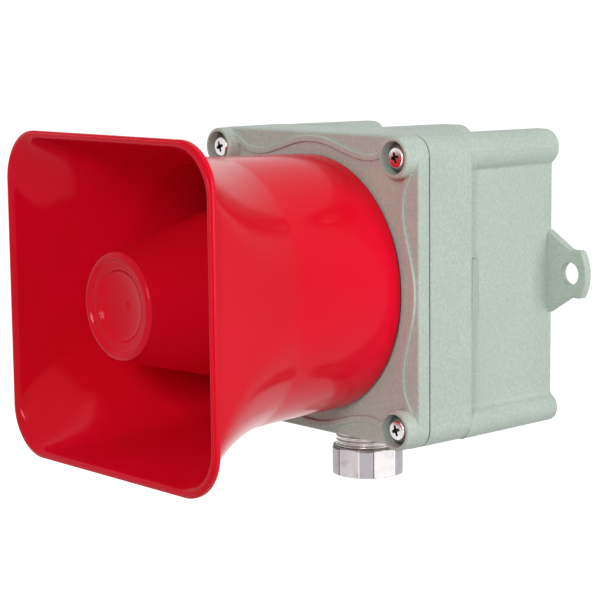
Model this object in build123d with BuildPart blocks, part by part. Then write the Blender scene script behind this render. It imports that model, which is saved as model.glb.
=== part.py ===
from build123d import *

import math
import os

os.makedirs("parts", exist_ok=True)

# Wall-mounted electronic signal horn: a cast case on two wall lugs, a screwed cover that carries a
# re-entrant horn and its compression driver, and a cable gland below.
# Frame: origin at the centre of the case's back face, which lies on the wall; X to the right as seen
# from the front, Z up, and the horn points along -Y. A "depth" is a distance out from the wall.

# ---------------------------------------------------------------- driving dimensions (mm)
case_size = 150.0          # case and cover, across X and Z
case_corner = 10.0         # outside corner radius of case and cover
case_depth = 92.8          # wall to the seam face
band_length = 29.8         # full-size band behind the seam
side_step = 5.0            # how far the walls behind the band are set back
side_draft = 0.6           # how much every side draws in towards the wall, for the mould
band_edge = 2.5            # rounding of the band's back edge
wall = 4.0                 # cast wall thickness
screw_pitch = 130.0        # cover screw centres, across X and Z
upper_column = (23.0, 18.0, 8.9)   # corner and middle columns: width, height, corner radius
lower_column = (20.0, 14.0, 6.5)
middle_column = (30.0, 18.0, 8.9)
column_step = 0.3          # how far the columns lie below the band's surface
cover_boss_radius = 9.8
post_radius = 9.0          # screw posts inside the case
seal_thickness = 0.8
seal_inset = 0.6
cover_thickness = 6.7
cover_skin = 4.0
boss_rise = 7.2
rib_width = 3.4
rib_rise = 1.3
rib_edge = 0.7
cover_edge = 1.5
boss_edge = 1.2

lug_hole_x = 84.0          # wall screw holes, out from the centre line
lug_lift = 2.5             # and above it
lug_hole_radius = 5.75
lug_half_height = 12.0
lug_root_half_height = 21.0
lug_corner = 4.0
lug_edge = 0.8
lug_end_corner = 2.0
lug_end_x = 94.5
lug_end_sag = 3.5
lug_thickness = 4.0

cover_screw_radius = 3.0
cover_screw_length = 22.0
screw_head_radius = 5.8
screw_head_height = 3.6
screw_clearance = 0.05
washer_thickness = 1.6
washer_radius = 7.6
counterbore_radius = 8.0

gland_depth = 63.6
gland_thread_radius = 16.5
gland_thread_pitch = 2.0
gland_bore_radius = 11.0
gland_boss_radius = 25.0
gland_neck_radius = 14.0
gland_neck_length = 11.0
gland_nut_gap = 13.0       # exposed thread between the case and the cap nut
cap_nut_flats = 36.0
cap_nut_corner_radius = 19.0
cap_nut_height = 14.5
cap_nut_corner_angle = 14.0
cap_nut_lip = 2.0
lock_nut_flats = 41.0
lock_nut_height = 5.0
cable_radius = 7.0
gland_seal_length = 8.0
slip_ring_thickness = 1.0

horn_base_half = 64.0      # half-width at the round base
horn_mouth_half = 79.0     # half-width of the square mouth
horn_mouth_corner = 23.0
horn_waist_growth = 2.6
horn_flare_start = 0.5     # share of the length where the flare begins
horn_length = 126.4
horn_wall = 2.6
horn_floor = 3.0
horn_rim_depth = 3.4
horn_rim_setback = 0.8
horn_gasket_thickness = 1.0
horn_throat_opening = 30.0
horn_screw_circle = 56.0
horn_boss_radius = 5.0
horn_boss_height = 11.0
horn_screw_radius = 2.0

throat_radius = 11.0
throat_mouth_radius = 13.5
throat_wall = 2.5
throat_length = 96.0
throat_flange_radius = 44.6
cover_bore_radius = 45.0

reflector_front_radius = 25.6
reflector_back_radius = 49.0
reflector_length = 92.0
reflector_setback = 8.7    # cone front behind the mouth plane
reflector_wall = 2.2
cap_rim_height = 2.4
spider_height = 9.0
spider_rib = 3.0
spider_hub_wall = 2.4
spider_gap = 0.1

driver_plate_radius = 61.0
driver_plate_thickness = 4.0
driver_can_radius = 46.0
driver_can_wall = 2.0
driver_flange_radius = 52.0
driver_flange_thickness = 3.0
driver_screw_circle = 49.0
driver_screw_radius = 1.5
dome_radius = 24.0
dome_rise = 3.0
dome_skin = 0.5
coil_wall = 1.0
coil_length = 10.0
coil_gap = 0.6
surround_width = 14.0
surround_thickness = 0.8
clamp_thickness = 5.2
magnet_radius = 42.0
magnet_hole_radius = 27.0
magnet_thickness = 14.0
pole_plate_thickness = 4.0
back_plate_thickness = 6.0
phase_plug_thickness = 2.0

board_size = 100.0
board_thickness = 1.6
board_hole_pitch = 88.0
standoff_height = 10.0
standoff_flats = 6.0
board_screw_radius = 1.5

standoff_stub = 2.8
board_screw_reach = 6.0

earth_point = (57.0, -28.0)  # places on the floor and the board, as (X, Z)
earth_boss_radius = 5.5
earth_boss_height = 9.0
earth_screw_radius = 2.0
earth_screw_length = 8.0
earth_clamp_thickness = 1.2

transformer_point = (-27.0, 24.0)
core_width = 38.0
core_height = 29.0
core_depth = 16.0
core_leg = 12.0
core_yoke = 6.0
core_window_width = 7.0
winding_bulge = 5.0

capacitor_points = [(8.0, 33.0), (27.0, 33.0)]
capacitor_radius = 8.0
capacitor_height = 26.0

sink_point = (30.0, 6.0)
sink_width = 30.0
sink_height = 25.0
sink_base = 2.5
sink_reach = 11.0
sink_fin = 1.4
sink_fins = 6
chip_width = 15.0
chip_thickness = 4.4
chip_height = 14.0
chip_lift = 4.0

terminal_point = (-18.0, -41.0)
terminal_count = 6
terminal_pitch = 6.0
terminal_width = 10.0
terminal_height = 14.0
terminal_screw_radius = 1.9
terminal_screw_depth = 8.0

fuse_point = (0.0, -14.0)
fuse_length = 20.0
fuse_radius = 2.6
fuse_rise = 4.6

socket_point = (22.0, -42.0)
socket_height = 12.0
socket_floor = 3.0
plug_width = 12.0
plug_depth = 7.0
plug_height = 14.0

switch_point = (-36.0, -14.0)
switch_count = 5
switch_pitch = 2.54
switch_height = 5.5
switch_travel = 2.0
slider_width = 1.2
slot_depth = 1.4

volume_point = (36.0, -20.0)
volume_height = 7.0
volume_shaft_radius = 1.5
volume_knob_radius = 4.0
volume_knob_height = 5.0

# ---------------------------------------------------------------- derived places
half_case = case_size / 2
band_start = case_depth - band_length
half_narrow = half_case - side_step
cover_back = case_depth + seal_thickness
cover_front = cover_back + cover_thickness
cover_inside = cover_front - cover_skin
boss_top = cover_front + boss_rise
washer_seat = boss_top - 1.1 - screw_head_height - washer_thickness
corner_points = [(sx * screw_pitch / 2, sz * screw_pitch / 2) for sx in (-1, 1) for sz in (-1, 1)]
horn_base = cover_front + horn_gasket_thickness
horn_mouth = horn_base + horn_length
reflector_front = horn_mouth - reflector_setback
reflector_back = reflector_front - reflector_length
driver_plate_back = cover_inside - driver_plate_thickness
board_back = wall + standoff_height
board_front = board_back + board_thickness
core_window_x = (core_leg + core_window_width) / 2
winding_half_x = core_leg / 2 + core_window_width - 0.3
gland_top = -half_narrow + wall
gland_nut_top = -half_case - gland_nut_gap
gland_neck_end = gland_nut_top - gland_neck_length
gland_seal_top = gland_neck_end + gland_seal_length
gland_seal_radius = gland_neck_radius - 1.6
slip_ring_bottom = gland_nut_top - cap_nut_height + cap_nut_lip + 0.1
gland_axis = Axis((0, -gland_depth, 0), (0, 0, 1))
gland_groove_count = int(gland_nut_gap / gland_thread_pitch)
gland_groove_points = [
    (gland_thread_radius + 0.2, gland_nut_top + (k + 0.5) * gland_thread_pitch)
    for k in range(gland_groove_count)
]
slider_points = [
    (
        switch_point[0] + (k - (switch_count - 1) / 2) * switch_pitch,
        switch_point[1] - switch_travel / 2,
    )
    for k in range(switch_count)
]


def at_depth(depth):
    """Plane parallel to the wall, facing the front, with X to the right and Z up."""
    return Plane.XZ.offset(depth)


def ring_points(radius, count, start=0.0):
    """Points evenly spaced on a circle about the horn's axis."""
    angles = [math.radians(start + 360 * k / count) for k in range(count)]
    return [(radius * math.cos(a), radius * math.sin(a)) for a in angles]


# ================================================================ case side (fixed to the wall)
# ---------------------------------------------------------------- rear housing
column_half = half_case - column_step - side_draft
wall_half = half_narrow - side_draft

with BuildPart() as case_band:
    with BuildSketch(at_depth(band_start)):
        RectangleRounded(case_size, case_size, case_corner)
    extrude(amount=band_length)
    fillet(case_band.faces().sort_by(Axis.Y)[-1].edges(), radius=band_edge)

with BuildPart() as wall_lugs:
    tab_x = lug_end_x - lug_end_sag
    with BuildSketch(at_depth(0)) as lug_outline:
        with BuildLine():
            Polyline(
                (wall_half - 2, lug_lift - lug_root_half_height),
                (wall_half - 2, lug_lift + lug_root_half_height),
                (wall_half, lug_lift + lug_root_half_height),
                (lug_hole_x, lug_lift + lug_half_height),
                (tab_x, lug_lift + lug_half_height),
            )
            ThreePointArc(
                (tab_x, lug_lift + lug_half_height),
                (lug_end_x, lug_lift),
                (tab_x, lug_lift - lug_half_height),
            )
            Polyline(
                (tab_x, lug_lift - lug_half_height),
                (lug_hole_x, lug_lift - lug_half_height),
                (wall_half, lug_lift - lug_root_half_height),
                (wall_half - 2, lug_lift - lug_root_half_height),
            )
        make_face()
        fillet([v for v in lug_outline.vertices() if abs(v.X - lug_hole_x) < 1], radius=lug_corner)
        fillet([v for v in lug_outline.vertices() if abs(v.X - tab_x) < 0.01], radius=lug_end_corner)
        with Locations((lug_hole_x, lug_lift)):
            Circle(lug_hole_radius, mode=Mode.SUBTRACT)
    extrude(amount=lug_thickness)
    fillet(wall_lugs.faces().sort_by(Axis.Y)[0].outer_wire().edges(), radius=lug_edge)
    mirror(about=Plane.YZ)

with BuildPart() as rear_housing:
    with BuildSketch(at_depth(0)) as outline:
        Rectangle(2 * wall_half, 2 * wall_half)
        for side in (-1, 1):
            with Locations((side * (column_half - upper_column[0] / 2), column_half - upper_column[1] / 2)):
                RectangleRounded(*upper_column)
            with Locations((side * (column_half - lower_column[0] / 2), lower_column[1] / 2 - column_half)):
                RectangleRounded(*lower_column)
        with Locations((0, column_half - middle_column[1] / 2)):
            RectangleRounded(*middle_column)
        on_walls = [v for v in outline.vertices() if abs(max(abs(v.X), abs(v.Y)) - wall_half) < 0.01]
        fillet(on_walls, radius=2.5)
    extrude(amount=band_start + band_edge, taper=-math.degrees(math.atan(side_draft / band_start)))
    fillet(rear_housing.faces().sort_by(Axis.Y)[-1].edges(), radius=2.0)
    add(case_band.part)
    # Wedges that fade the band into the side walls at mid-height
    with BuildSketch(Plane.XY.offset(-14)) as wedges:
        for side in (-1, 1):
            with BuildLine():
                Polyline(
                    (side * (half_narrow - 1), -(band_start - 8.5)),
                    (side * half_narrow, -(band_start - 8.5)),
                    (side * half_case, -(band_start + 1)),
                    (side * (half_narrow - 1), -(band_start + 1)),
                    close=True,
                )
            make_face()
    extrude(amount=28)
    # Cavity: narrow part behind, wide part inside the band, screw posts left standing
    with BuildSketch(at_depth(wall)) as narrow_cavity:
        Rectangle(2 * (half_narrow - wall), 2 * (half_narrow - wall))
        with Locations(*corner_points):
            Circle(post_radius, mode=Mode.SUBTRACT)
        fillet(narrow_cavity.vertices(), radius=2.0)
    extrude(amount=case_depth, mode=Mode.SUBTRACT)
    with BuildSketch(at_depth(band_start + wall)) as wide_cavity:
        Rectangle(2 * (half_case - wall), 2 * (half_case - wall))
        with Locations(*corner_points):
            Circle(post_radius, mode=Mode.SUBTRACT)
        fillet(wide_cavity.vertices().group_by(SortBy.DISTANCE)[0], radius=2.0)
    extrude(amount=case_depth, mode=Mode.SUBTRACT)
    # Boss for the cable gland, through the bottom wall
    with BuildSketch(Plane.XY.offset(-half_case)):
        with Locations((0, -gland_depth)):
            Circle(gland_boss_radius)
    extrude(amount=half_case + gland_top)
    with BuildSketch(Plane.XY.offset(-half_case)):
        with Locations((0, -gland_depth)):
            Circle(gland_thread_radius + 0.1)
    extrude(amount=half_case + gland_top, mode=Mode.SUBTRACT)
    add(wall_lugs.part)
    # Earth boss on the floor, then every screw hole
    with BuildSketch(at_depth(wall - 1)):
        with Locations(earth_point):
            Circle(earth_boss_radius)
    extrude(amount=earth_boss_height + 1)
    with BuildSketch(at_depth(case_depth - cover_screw_length)):
        with Locations(*corner_points):
            Circle(cover_screw_radius + screw_clearance)
    extrude(amount=cover_screw_length + 1, mode=Mode.SUBTRACT)
    with BuildSketch(at_depth(wall - standoff_stub)):
        with GridLocations(board_hole_pitch, board_hole_pitch, 2, 2):
            Circle(board_screw_radius + screw_clearance)
    extrude(amount=standoff_stub + 1, mode=Mode.SUBTRACT)
    with BuildSketch(at_depth(wall + earth_boss_height - earth_screw_length)):
        with Locations(earth_point):
            Circle(earth_screw_radius + screw_clearance)
    extrude(amount=earth_screw_length + 1, mode=Mode.SUBTRACT)
rear_housing.part.label = "rear_housing"
export_step(rear_housing.part, "parts/rear_housing.step")

# ---------------------------------------------------------------- cable gland
with BuildPart() as gland_body:
    with BuildSketch(Plane.XZ.offset(gland_depth)) as gland_profile:
        with BuildLine():
            Polyline(
                (gland_bore_radius, gland_top + lock_nut_height + 2),
                (gland_thread_radius, gland_top + lock_nut_height + 2),
                (gland_thread_radius, gland_nut_top),
                (gland_neck_radius, gland_nut_top),
                (gland_neck_radius, gland_neck_end),
                (gland_seal_radius + 0.1, gland_neck_end),
                (gland_seal_radius + 0.1, gland_seal_top),
                (gland_bore_radius, gland_seal_top),
                close=True,
            )
        make_face()
    revolve(axis=gland_axis)
    with BuildSketch(Plane.XZ.offset(gland_depth)):
        with Locations(*gland_groove_points):
            RegularPolygon(radius=gland_thread_pitch * 0.4, side_count=3, rotation=180)
    revolve(axis=gland_axis, mode=Mode.SUBTRACT)
gland_body.part.label = "gland_body"
export_step(gland_body.part, "parts/gland_body.step")

with BuildPart() as gland_lock_nut:
    with BuildSketch(Plane.XY.offset(gland_top)):
        with Locations((0, -gland_depth)):
            RegularPolygon(radius=lock_nut_flats / 2, side_count=6, major_radius=False)
            Circle(gland_thread_radius + 0.1, mode=Mode.SUBTRACT)
    extrude(amount=lock_nut_height)
gland_lock_nut.part.label = "gland_lock_nut"
export_step(gland_lock_nut.part, "parts/gland_lock_nut.step")

with BuildPart() as gland_seal:
    with BuildSketch(Plane.XY.offset(gland_neck_end)):
        with Locations((0, -gland_depth)):
            Circle(gland_seal_radius)
            Circle(cable_radius, mode=Mode.SUBTRACT)
    extrude(amount=gland_seal_length)
gland_seal.part.label = "gland_seal"
export_step(gland_seal.part, "parts/gland_seal.step")

with BuildPart() as gland_slip_ring:
    with BuildSketch(Plane.XY.offset(slip_ring_bottom)):
        with Locations((0, -gland_depth)):
            Circle(gland_neck_radius - 0.5)
            Circle(gland_bore_radius, mode=Mode.SUBTRACT)
    extrude(amount=slip_ring_thickness)
gland_slip_ring.part.label = "gland_slip_ring"
export_step(gland_slip_ring.part, "parts/gland_slip_ring.step")

with BuildPart() as gland_cap_nut:
    with BuildSketch(Plane.XY.offset(gland_nut_top - cap_nut_height)):
        with Locations((0, -gland_depth)):
            RegularPolygon(
                radius=cap_nut_flats / 2, side_count=6, major_radius=False, rotation=cap_nut_corner_angle
            )
            Circle(cap_nut_corner_radius, mode=Mode.INTERSECT)
    extrude(amount=cap_nut_height)
    chamfer(gland_cap_nut.faces().sort_by(Axis.Z)[-1].edges(), length=0.6)
    chamfer(gland_cap_nut.faces().sort_by(Axis.Z)[0].edges(), length=0.6)
    with BuildSketch(Plane.XY.offset(gland_nut_top - cap_nut_height + cap_nut_lip)):
        with Locations((0, -gland_depth)):
            Circle(gland_neck_radius + 0.1)
    extrude(amount=cap_nut_height, mode=Mode.SUBTRACT)
    with BuildSketch(Plane.XY.offset(gland_nut_top - cap_nut_height - 1)):
        with Locations((0, -gland_depth)):
            Circle(gland_bore_radius)
    extrude(amount=cap_nut_height, mode=Mode.SUBTRACT)
gland_cap_nut.part.label = "gland_cap_nut"
export_step(gland_cap_nut.part, "parts/gland_cap_nut.step")

# ---------------------------------------------------------------- earth terminal
with BuildPart() as earth_clamp:
    with BuildSketch(at_depth(wall + earth_boss_height)):
        with Locations(earth_point):
            RectangleRounded(9.0, 9.0, 1.0)
            Circle(earth_screw_radius + screw_clearance, mode=Mode.SUBTRACT)
    extrude(amount=earth_clamp_thickness)
earth_clamp.part.label = "earth_clamp"
export_step(earth_clamp.part, "parts/earth_clamp.step")

with BuildPart() as earth_screw:
    with BuildSketch(at_depth(wall + earth_boss_height - earth_screw_length + 0.5)):
        with Locations(earth_point):
            Circle(earth_screw_radius)
    extrude(amount=earth_screw_length + earth_clamp_thickness)
    with BuildSketch(at_depth(wall + earth_boss_height + earth_clamp_thickness)):
        with Locations(earth_point):
            Circle(earth_screw_radius * 1.9)
    extrude(amount=2.6)
    with BuildSketch(at_depth(wall + earth_boss_height + earth_clamp_thickness + 1.6)):
        with Locations(earth_point):
            Rectangle(5.0, 0.9)
            Rectangle(0.9, 5.0)
    extrude(amount=2, mode=Mode.SUBTRACT)
earth_screw.part.label = "earth_screw"
export_step(earth_screw.part, "parts/earth_screw.step")

# ---------------------------------------------------------------- circuit board and its fixings
with BuildPart() as board_standoffs:
    with BuildSketch(at_depth(wall)):
        with GridLocations(board_hole_pitch, board_hole_pitch, 2, 2):
            RegularPolygon(radius=standoff_flats / 2, side_count=6, major_radius=False)
    extrude(amount=standoff_height)
    with BuildSketch(at_depth(wall - standoff_stub + 0.2)):
        with GridLocations(board_hole_pitch, board_hole_pitch, 2, 2):
            Circle(board_screw_radius)
    extrude(amount=standoff_stub)
    with BuildSketch(at_depth(board_back - board_screw_reach - 0.5)):
        with GridLocations(board_hole_pitch, board_hole_pitch, 2, 2):
            Circle(board_screw_radius + screw_clearance)
    extrude(amount=board_screw_reach + 1, mode=Mode.SUBTRACT)
board_standoffs.part.label = "board_standoffs"
export_step(board_standoffs.part, "parts/board_standoffs.step")

with BuildPart() as circuit_board:
    with BuildSketch(at_depth(board_back)):
        RectangleRounded(board_size, board_size, 2.0)
        with GridLocations(board_hole_pitch, board_hole_pitch, 2, 2):
            Circle(board_screw_radius + 0.1, mode=Mode.SUBTRACT)
    extrude(amount=board_thickness)
circuit_board.part.label = "circuit_board"
export_step(circuit_board.part, "parts/circuit_board.step")

with BuildPart() as board_screws:
    with BuildSketch(at_depth(board_back - board_screw_reach)):
        with GridLocations(board_hole_pitch, board_hole_pitch, 2, 2):
            Circle(board_screw_radius)
    extrude(amount=board_screw_reach + board_thickness)
    with BuildSketch(at_depth(board_front)):
        with GridLocations(board_hole_pitch, board_hole_pitch, 2, 2):
            Circle(board_screw_radius * 1.85)
    extrude(amount=2.2)
    with BuildSketch(at_depth(board_front + 1.2)):
        with GridLocations(board_hole_pitch, board_hole_pitch, 2, 2):
            Rectangle(3.4, 0.7)
            Rectangle(0.7, 3.4)
    extrude(amount=2, mode=Mode.SUBTRACT)
board_screws.part.label = "board_screws"
export_step(board_screws.part, "parts/board_screws.step")

# ---------------------------------------------------------------- what stands on the board
with BuildPart() as transformer_core:
    with BuildSketch(at_depth(board_front)):
        with Locations(transformer_point):
            Rectangle(core_width, core_depth)
    extrude(amount=core_height)
    with BuildSketch(Plane.XY.offset(transformer_point[1] - core_depth)):
        for side in (-1, 1):
            with Locations((transformer_point[0] + side * core_window_x, -(board_front + core_height / 2))):
                Rectangle(core_window_width, core_height - 2 * core_yoke)
    extrude(amount=2 * core_depth, mode=Mode.SUBTRACT)
transformer_core.part.label = "transformer_core"
export_step(transformer_core.part, "parts/transformer_core.step")

with BuildPart() as transformer_winding:
    with BuildSketch(at_depth(board_front + core_yoke + 0.2)):
        with Locations(transformer_point):
            RectangleRounded(2 * winding_half_x, core_depth + 2 * winding_bulge, 2.0)
            Rectangle(core_leg + 0.4, core_depth + 0.4, mode=Mode.SUBTRACT)
    extrude(amount=core_height - 2 * core_yoke - 0.4)
transformer_winding.part.label = "transformer_winding"
export_step(transformer_winding.part, "parts/transformer_winding.step")

with BuildPart() as filter_capacitors:
    for point in capacitor_points:
        with BuildSketch(at_depth(board_front)):
            with Locations(point):
                Circle(capacitor_radius)
        extrude(amount=capacitor_height)
    fillet(filter_capacitors.edges().group_by(Axis.Y)[0], radius=1.0)
filter_capacitors.part.label = "filter_capacitors"
export_step(filter_capacitors.part, "parts/filter_capacitors.step")

with BuildPart() as heat_sink:
    with BuildSketch(at_depth(board_front)):
        with Locations(sink_point):
            Rectangle(sink_width, sink_base, align=(Align.CENTER, Align.MIN))
        for k in range(sink_fins):
            offset_x = (k - (sink_fins - 1) / 2) * (sink_width - sink_fin) / (sink_fins - 1)
            with Locations((sink_point[0] + offset_x, sink_point[1])):
                Rectangle(sink_fin, sink_reach, align=(Align.CENTER, Align.MIN))
    extrude(amount=sink_height)
heat_sink.part.label = "heat_sink"
export_step(heat_sink.part, "parts/heat_sink.step")

with BuildPart() as amplifier_chip:
    with BuildSketch(at_depth(board_front + chip_lift)):
        with Locations(sink_point):
            Rectangle(chip_width, chip_thickness, align=(Align.CENTER, Align.MAX))
    extrude(amount=chip_height)
    with BuildSketch(at_depth(board_front)):
        for k in range(5):
            with Locations((sink_point[0] + (k - 2) * 2.0, sink_point[1] - chip_thickness / 2)):
                Rectangle(0.8, 0.6)
    extrude(amount=chip_lift + 1)
amplifier_chip.part.label = "amplifier_chip"
export_step(amplifier_chip.part, "parts/amplifier_chip.step")

with BuildPart() as terminal_block:
    with BuildSketch(at_depth(board_front)):
        with Locations(terminal_point):
            Rectangle(terminal_count * terminal_pitch + 2, terminal_width)
    extrude(amount=terminal_height)
    with BuildSketch(at_depth(board_front + terminal_height - terminal_screw_depth)):
        with Locations(terminal_point):
            with GridLocations(terminal_pitch, 1, terminal_count, 1):
                Circle(terminal_screw_radius + 0.2)
    extrude(amount=terminal_screw_depth + 1, mode=Mode.SUBTRACT)
    with BuildSketch(Plane.XY.offset(terminal_point[1] - terminal_width / 2)):
        with Locations((terminal_point[0], -(board_front + 4.0))):
            with GridLocations(terminal_pitch, 1, terminal_count, 1):
                Rectangle(terminal_pitch - 2.0, 4.4)
    extrude(amount=terminal_width * 0.6, mode=Mode.SUBTRACT)
terminal_block.part.label = "terminal_block"
export_step(terminal_block.part, "parts/terminal_block.step")

with BuildPart() as terminal_screws:
    with BuildSketch(at_depth(board_front + terminal_height - terminal_screw_depth)):
        with Locations(terminal_point):
            with GridLocations(terminal_pitch, 1, terminal_count, 1):
                Circle(terminal_screw_radius)
    extrude(amount=terminal_screw_depth - 1)
    with BuildSketch(at_depth(board_front + terminal_height - 2)):
        with Locations(terminal_point):
            with GridLocations(terminal_pitch, 1, terminal_count, 1):
                Rectangle(2 * terminal_screw_radius + 1, 0.7)
    extrude(amount=2, mode=Mode.SUBTRACT)
terminal_screws.part.label = "terminal_screws"
export_step(terminal_screws.part, "parts/terminal_screws.step")

with BuildPart() as fuse_holder:
    with BuildSketch(at_depth(board_front)):
        with Locations(fuse_point):
            Rectangle(fuse_length + 4, 8.0)
    extrude(amount=1.5)
    for side in (-1, 1):
        with BuildSketch(at_depth(board_front + 1)):
            with Locations((fuse_point[0] + side * (fuse_length / 2 - 3), fuse_point[1])):
                Rectangle(4.0, 2 * fuse_radius + 2.0)
        extrude(amount=fuse_rise + 1)
    with BuildSketch(Plane.YZ.offset(fuse_point[0] - fuse_length)):
        with Locations((-(board_front + fuse_rise), fuse_point[1])):
            Circle(fuse_radius + screw_clearance)
    extrude(amount=2 * fuse_length, mode=Mode.SUBTRACT)
fuse_holder.part.label = "fuse_holder"
export_step(fuse_holder.part, "parts/fuse_holder.step")

with BuildPart() as fuse:
    with BuildSketch(Plane.YZ.offset(fuse_point[0] - fuse_length / 2)):
        with Locations((-(board_front + fuse_rise), fuse_point[1])):
            Circle(fuse_radius)
    extrude(amount=fuse_length)
fuse.part.label = "fuse"
export_step(fuse.part, "parts/fuse.step")

with BuildPart() as lead_socket:
    with BuildSketch(at_depth(board_front)):
        with Locations(socket_point):
            RectangleRounded(plug_width + 4, plug_depth + 4, 1.0)
    extrude(amount=socket_height)
    with BuildSketch(at_depth(board_front + socket_floor)):
        with Locations(socket_point):
            Rectangle(plug_width + 0.6, plug_depth + 0.6)
    extrude(amount=socket_height, mode=Mode.SUBTRACT)
lead_socket.part.label = "lead_socket"
export_step(lead_socket.part, "parts/lead_socket.step")

# ---------------------------------------------------------------- tone switch and volume control
with BuildPart() as tone_switch:
    with BuildSketch(at_depth(board_front)):
        with Locations(switch_point):
            Rectangle(switch_count * switch_pitch + 2, 9.5)
    extrude(amount=switch_height)
    with BuildSketch(at_depth(board_front + switch_height - slot_depth)):
        for point in slider_points:
            with Locations((point[0], point[1] + switch_travel / 2)):
                Rectangle(slider_width + 0.4, slider_width + switch_travel + 0.4)
    extrude(amount=slot_depth + 1, mode=Mode.SUBTRACT)
tone_switch.part.label = "tone_switch"
export_step(tone_switch.part, "parts/tone_switch.step")

for k, point in enumerate(slider_points):
    with BuildPart() as tone_slider:
        with BuildSketch(at_depth(board_front + switch_height - slot_depth + 0.05)):
            with Locations(point):
                Rectangle(slider_width, slider_width)
        extrude(amount=slot_depth + 0.8)
    tone_slider.part.label = f"tone_slider_{k + 1}"
    export_step(tone_slider.part, f"parts/tone_slider_{k + 1}.step")

with BuildPart() as volume_control:
    with BuildSketch(at_depth(board_front)):
        with Locations(volume_point):
            RectangleRounded(10.0, 10.0, 0.8)
    extrude(amount=volume_height)
    with BuildSketch(at_depth(board_front + volume_height - 3)):
        with Locations(volume_point):
            Circle(volume_shaft_radius + 0.05)
    extrude(amount=4, mode=Mode.SUBTRACT)
volume_control.part.label = "volume_control"
export_step(volume_control.part, "parts/volume_control.step")

with BuildPart() as volume_knob:
    with BuildSketch(at_depth(board_front + volume_height - 2.8)):
        with Locations(volume_point):
            Circle(volume_shaft_radius)
    extrude(amount=4)
    with BuildSketch(at_depth(board_front + volume_height + 0.3)) as grip:
        with Locations(volume_point):
            Circle(volume_knob_radius)
            with PolarLocations(volume_knob_radius, 12):
                Circle(0.45, mode=Mode.SUBTRACT)
    extrude(amount=volume_knob_height)
    with BuildSketch(at_depth(board_front + volume_height + volume_knob_height - 0.7)):
        with Locations((volume_point[0], volume_point[1] + volume_knob_radius / 2)):
            Rectangle(0.8, volume_knob_radius)
    extrude(amount=2, mode=Mode.SUBTRACT)
volume_knob.part.label = "volume_knob"
export_step(volume_knob.part, "parts/volume_knob.step")


# ================================================================ cover side (comes off with the cover)
# ---------------------------------------------------------------- cover and its seal
with BuildPart() as cover_seal:
    with BuildSketch(at_depth(case_depth)) as seal_outline:
        seal_size = case_size - 2 * seal_inset
        RectangleRounded(seal_size, seal_size, case_corner - seal_inset)
        Rectangle(2 * (half_case - wall), 2 * (half_case - wall), mode=Mode.SUBTRACT)
        with Locations(*corner_points):
            Circle(post_radius - seal_inset)
            Circle(cover_screw_radius + 0.5, mode=Mode.SUBTRACT)
    extrude(amount=seal_thickness)
cover_seal.part.label = "cover_seal"
export_step(cover_seal.part, "parts/cover_seal.step")

# One side of the cover's decorative rib: it bows out to a shallow peak at the middle
with BuildSketch() as rib_side:
    with BuildLine() as rib_line:
        half_rib = Spline(
            (half_case - 4.6, screw_pitch / 2 - cover_boss_radius + 2.6),
            (half_case - 11.0, half_case / 2),
            (half_case - 9.0, half_case * 0.36),
            (half_case - 3.7, 0),
        )
        mirror(half_rib, about=Plane.XZ)
    trace(line_width=rib_width)

with BuildPart() as cover_ribs:
    with BuildSketch(at_depth(cover_front - 1)):
        with PolarLocations(0, 4):
            add(rib_side.sketch)
    extrude(amount=rib_rise + 1)
    fillet(cover_ribs.faces().group_by(Axis.Y)[0].edges(), radius=rib_edge)

with BuildPart() as front_cover:
    with BuildSketch(at_depth(cover_back)):
        RectangleRounded(case_size, case_size, case_corner)
    extrude(amount=cover_thickness)
    fillet(front_cover.faces().sort_by(Axis.Y)[0].edges(), radius=cover_edge)
    with BuildSketch(at_depth(cover_back)):
        with Locations(*corner_points):
            Circle(cover_boss_radius)
    extrude(amount=cover_thickness + boss_rise)
    fillet(front_cover.faces().group_by(Axis.Y)[0].edges(), radius=boss_edge)
    add(cover_ribs.part)
    # Hollow underside with solid corners, opening for the driver, screw seats
    with BuildSketch(at_depth(cover_back - 1)):
        Rectangle(2 * (half_case - wall), 2 * (half_case - wall))
        with Locations(*corner_points):
            Circle(post_radius, mode=Mode.SUBTRACT)
    extrude(amount=cover_inside - cover_back + 1, mode=Mode.SUBTRACT)
    with BuildSketch(at_depth(cover_back)):
        Circle(cover_bore_radius)
    extrude(amount=2 * cover_thickness, mode=Mode.SUBTRACT)
    with BuildSketch(at_depth(cover_back - 1)):
        with Locations(*corner_points):
            Circle(cover_screw_radius + 0.2)
        with Locations(*ring_points(horn_screw_circle, 4, 45)):
            Circle(horn_screw_radius + 0.2)
    extrude(amount=2 * cover_thickness + boss_rise, mode=Mode.SUBTRACT)
    with BuildSketch(at_depth(washer_seat)):
        with Locations(*corner_points):
            Circle(counterbore_radius)
    extrude(amount=boss_rise + cover_thickness, mode=Mode.SUBTRACT)
front_cover.part.label = "front_cover"
export_step(front_cover.part, "parts/front_cover.step")

with BuildPart() as screw_washers:
    with BuildSketch(at_depth(washer_seat)):
        with Locations(*corner_points):
            Circle(washer_radius)
            Circle(cover_screw_radius + 0.2, mode=Mode.SUBTRACT)
    extrude(amount=washer_thickness)
screw_washers.part.label = "screw_washers"
export_step(screw_washers.part, "parts/screw_washers.step")

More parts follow.
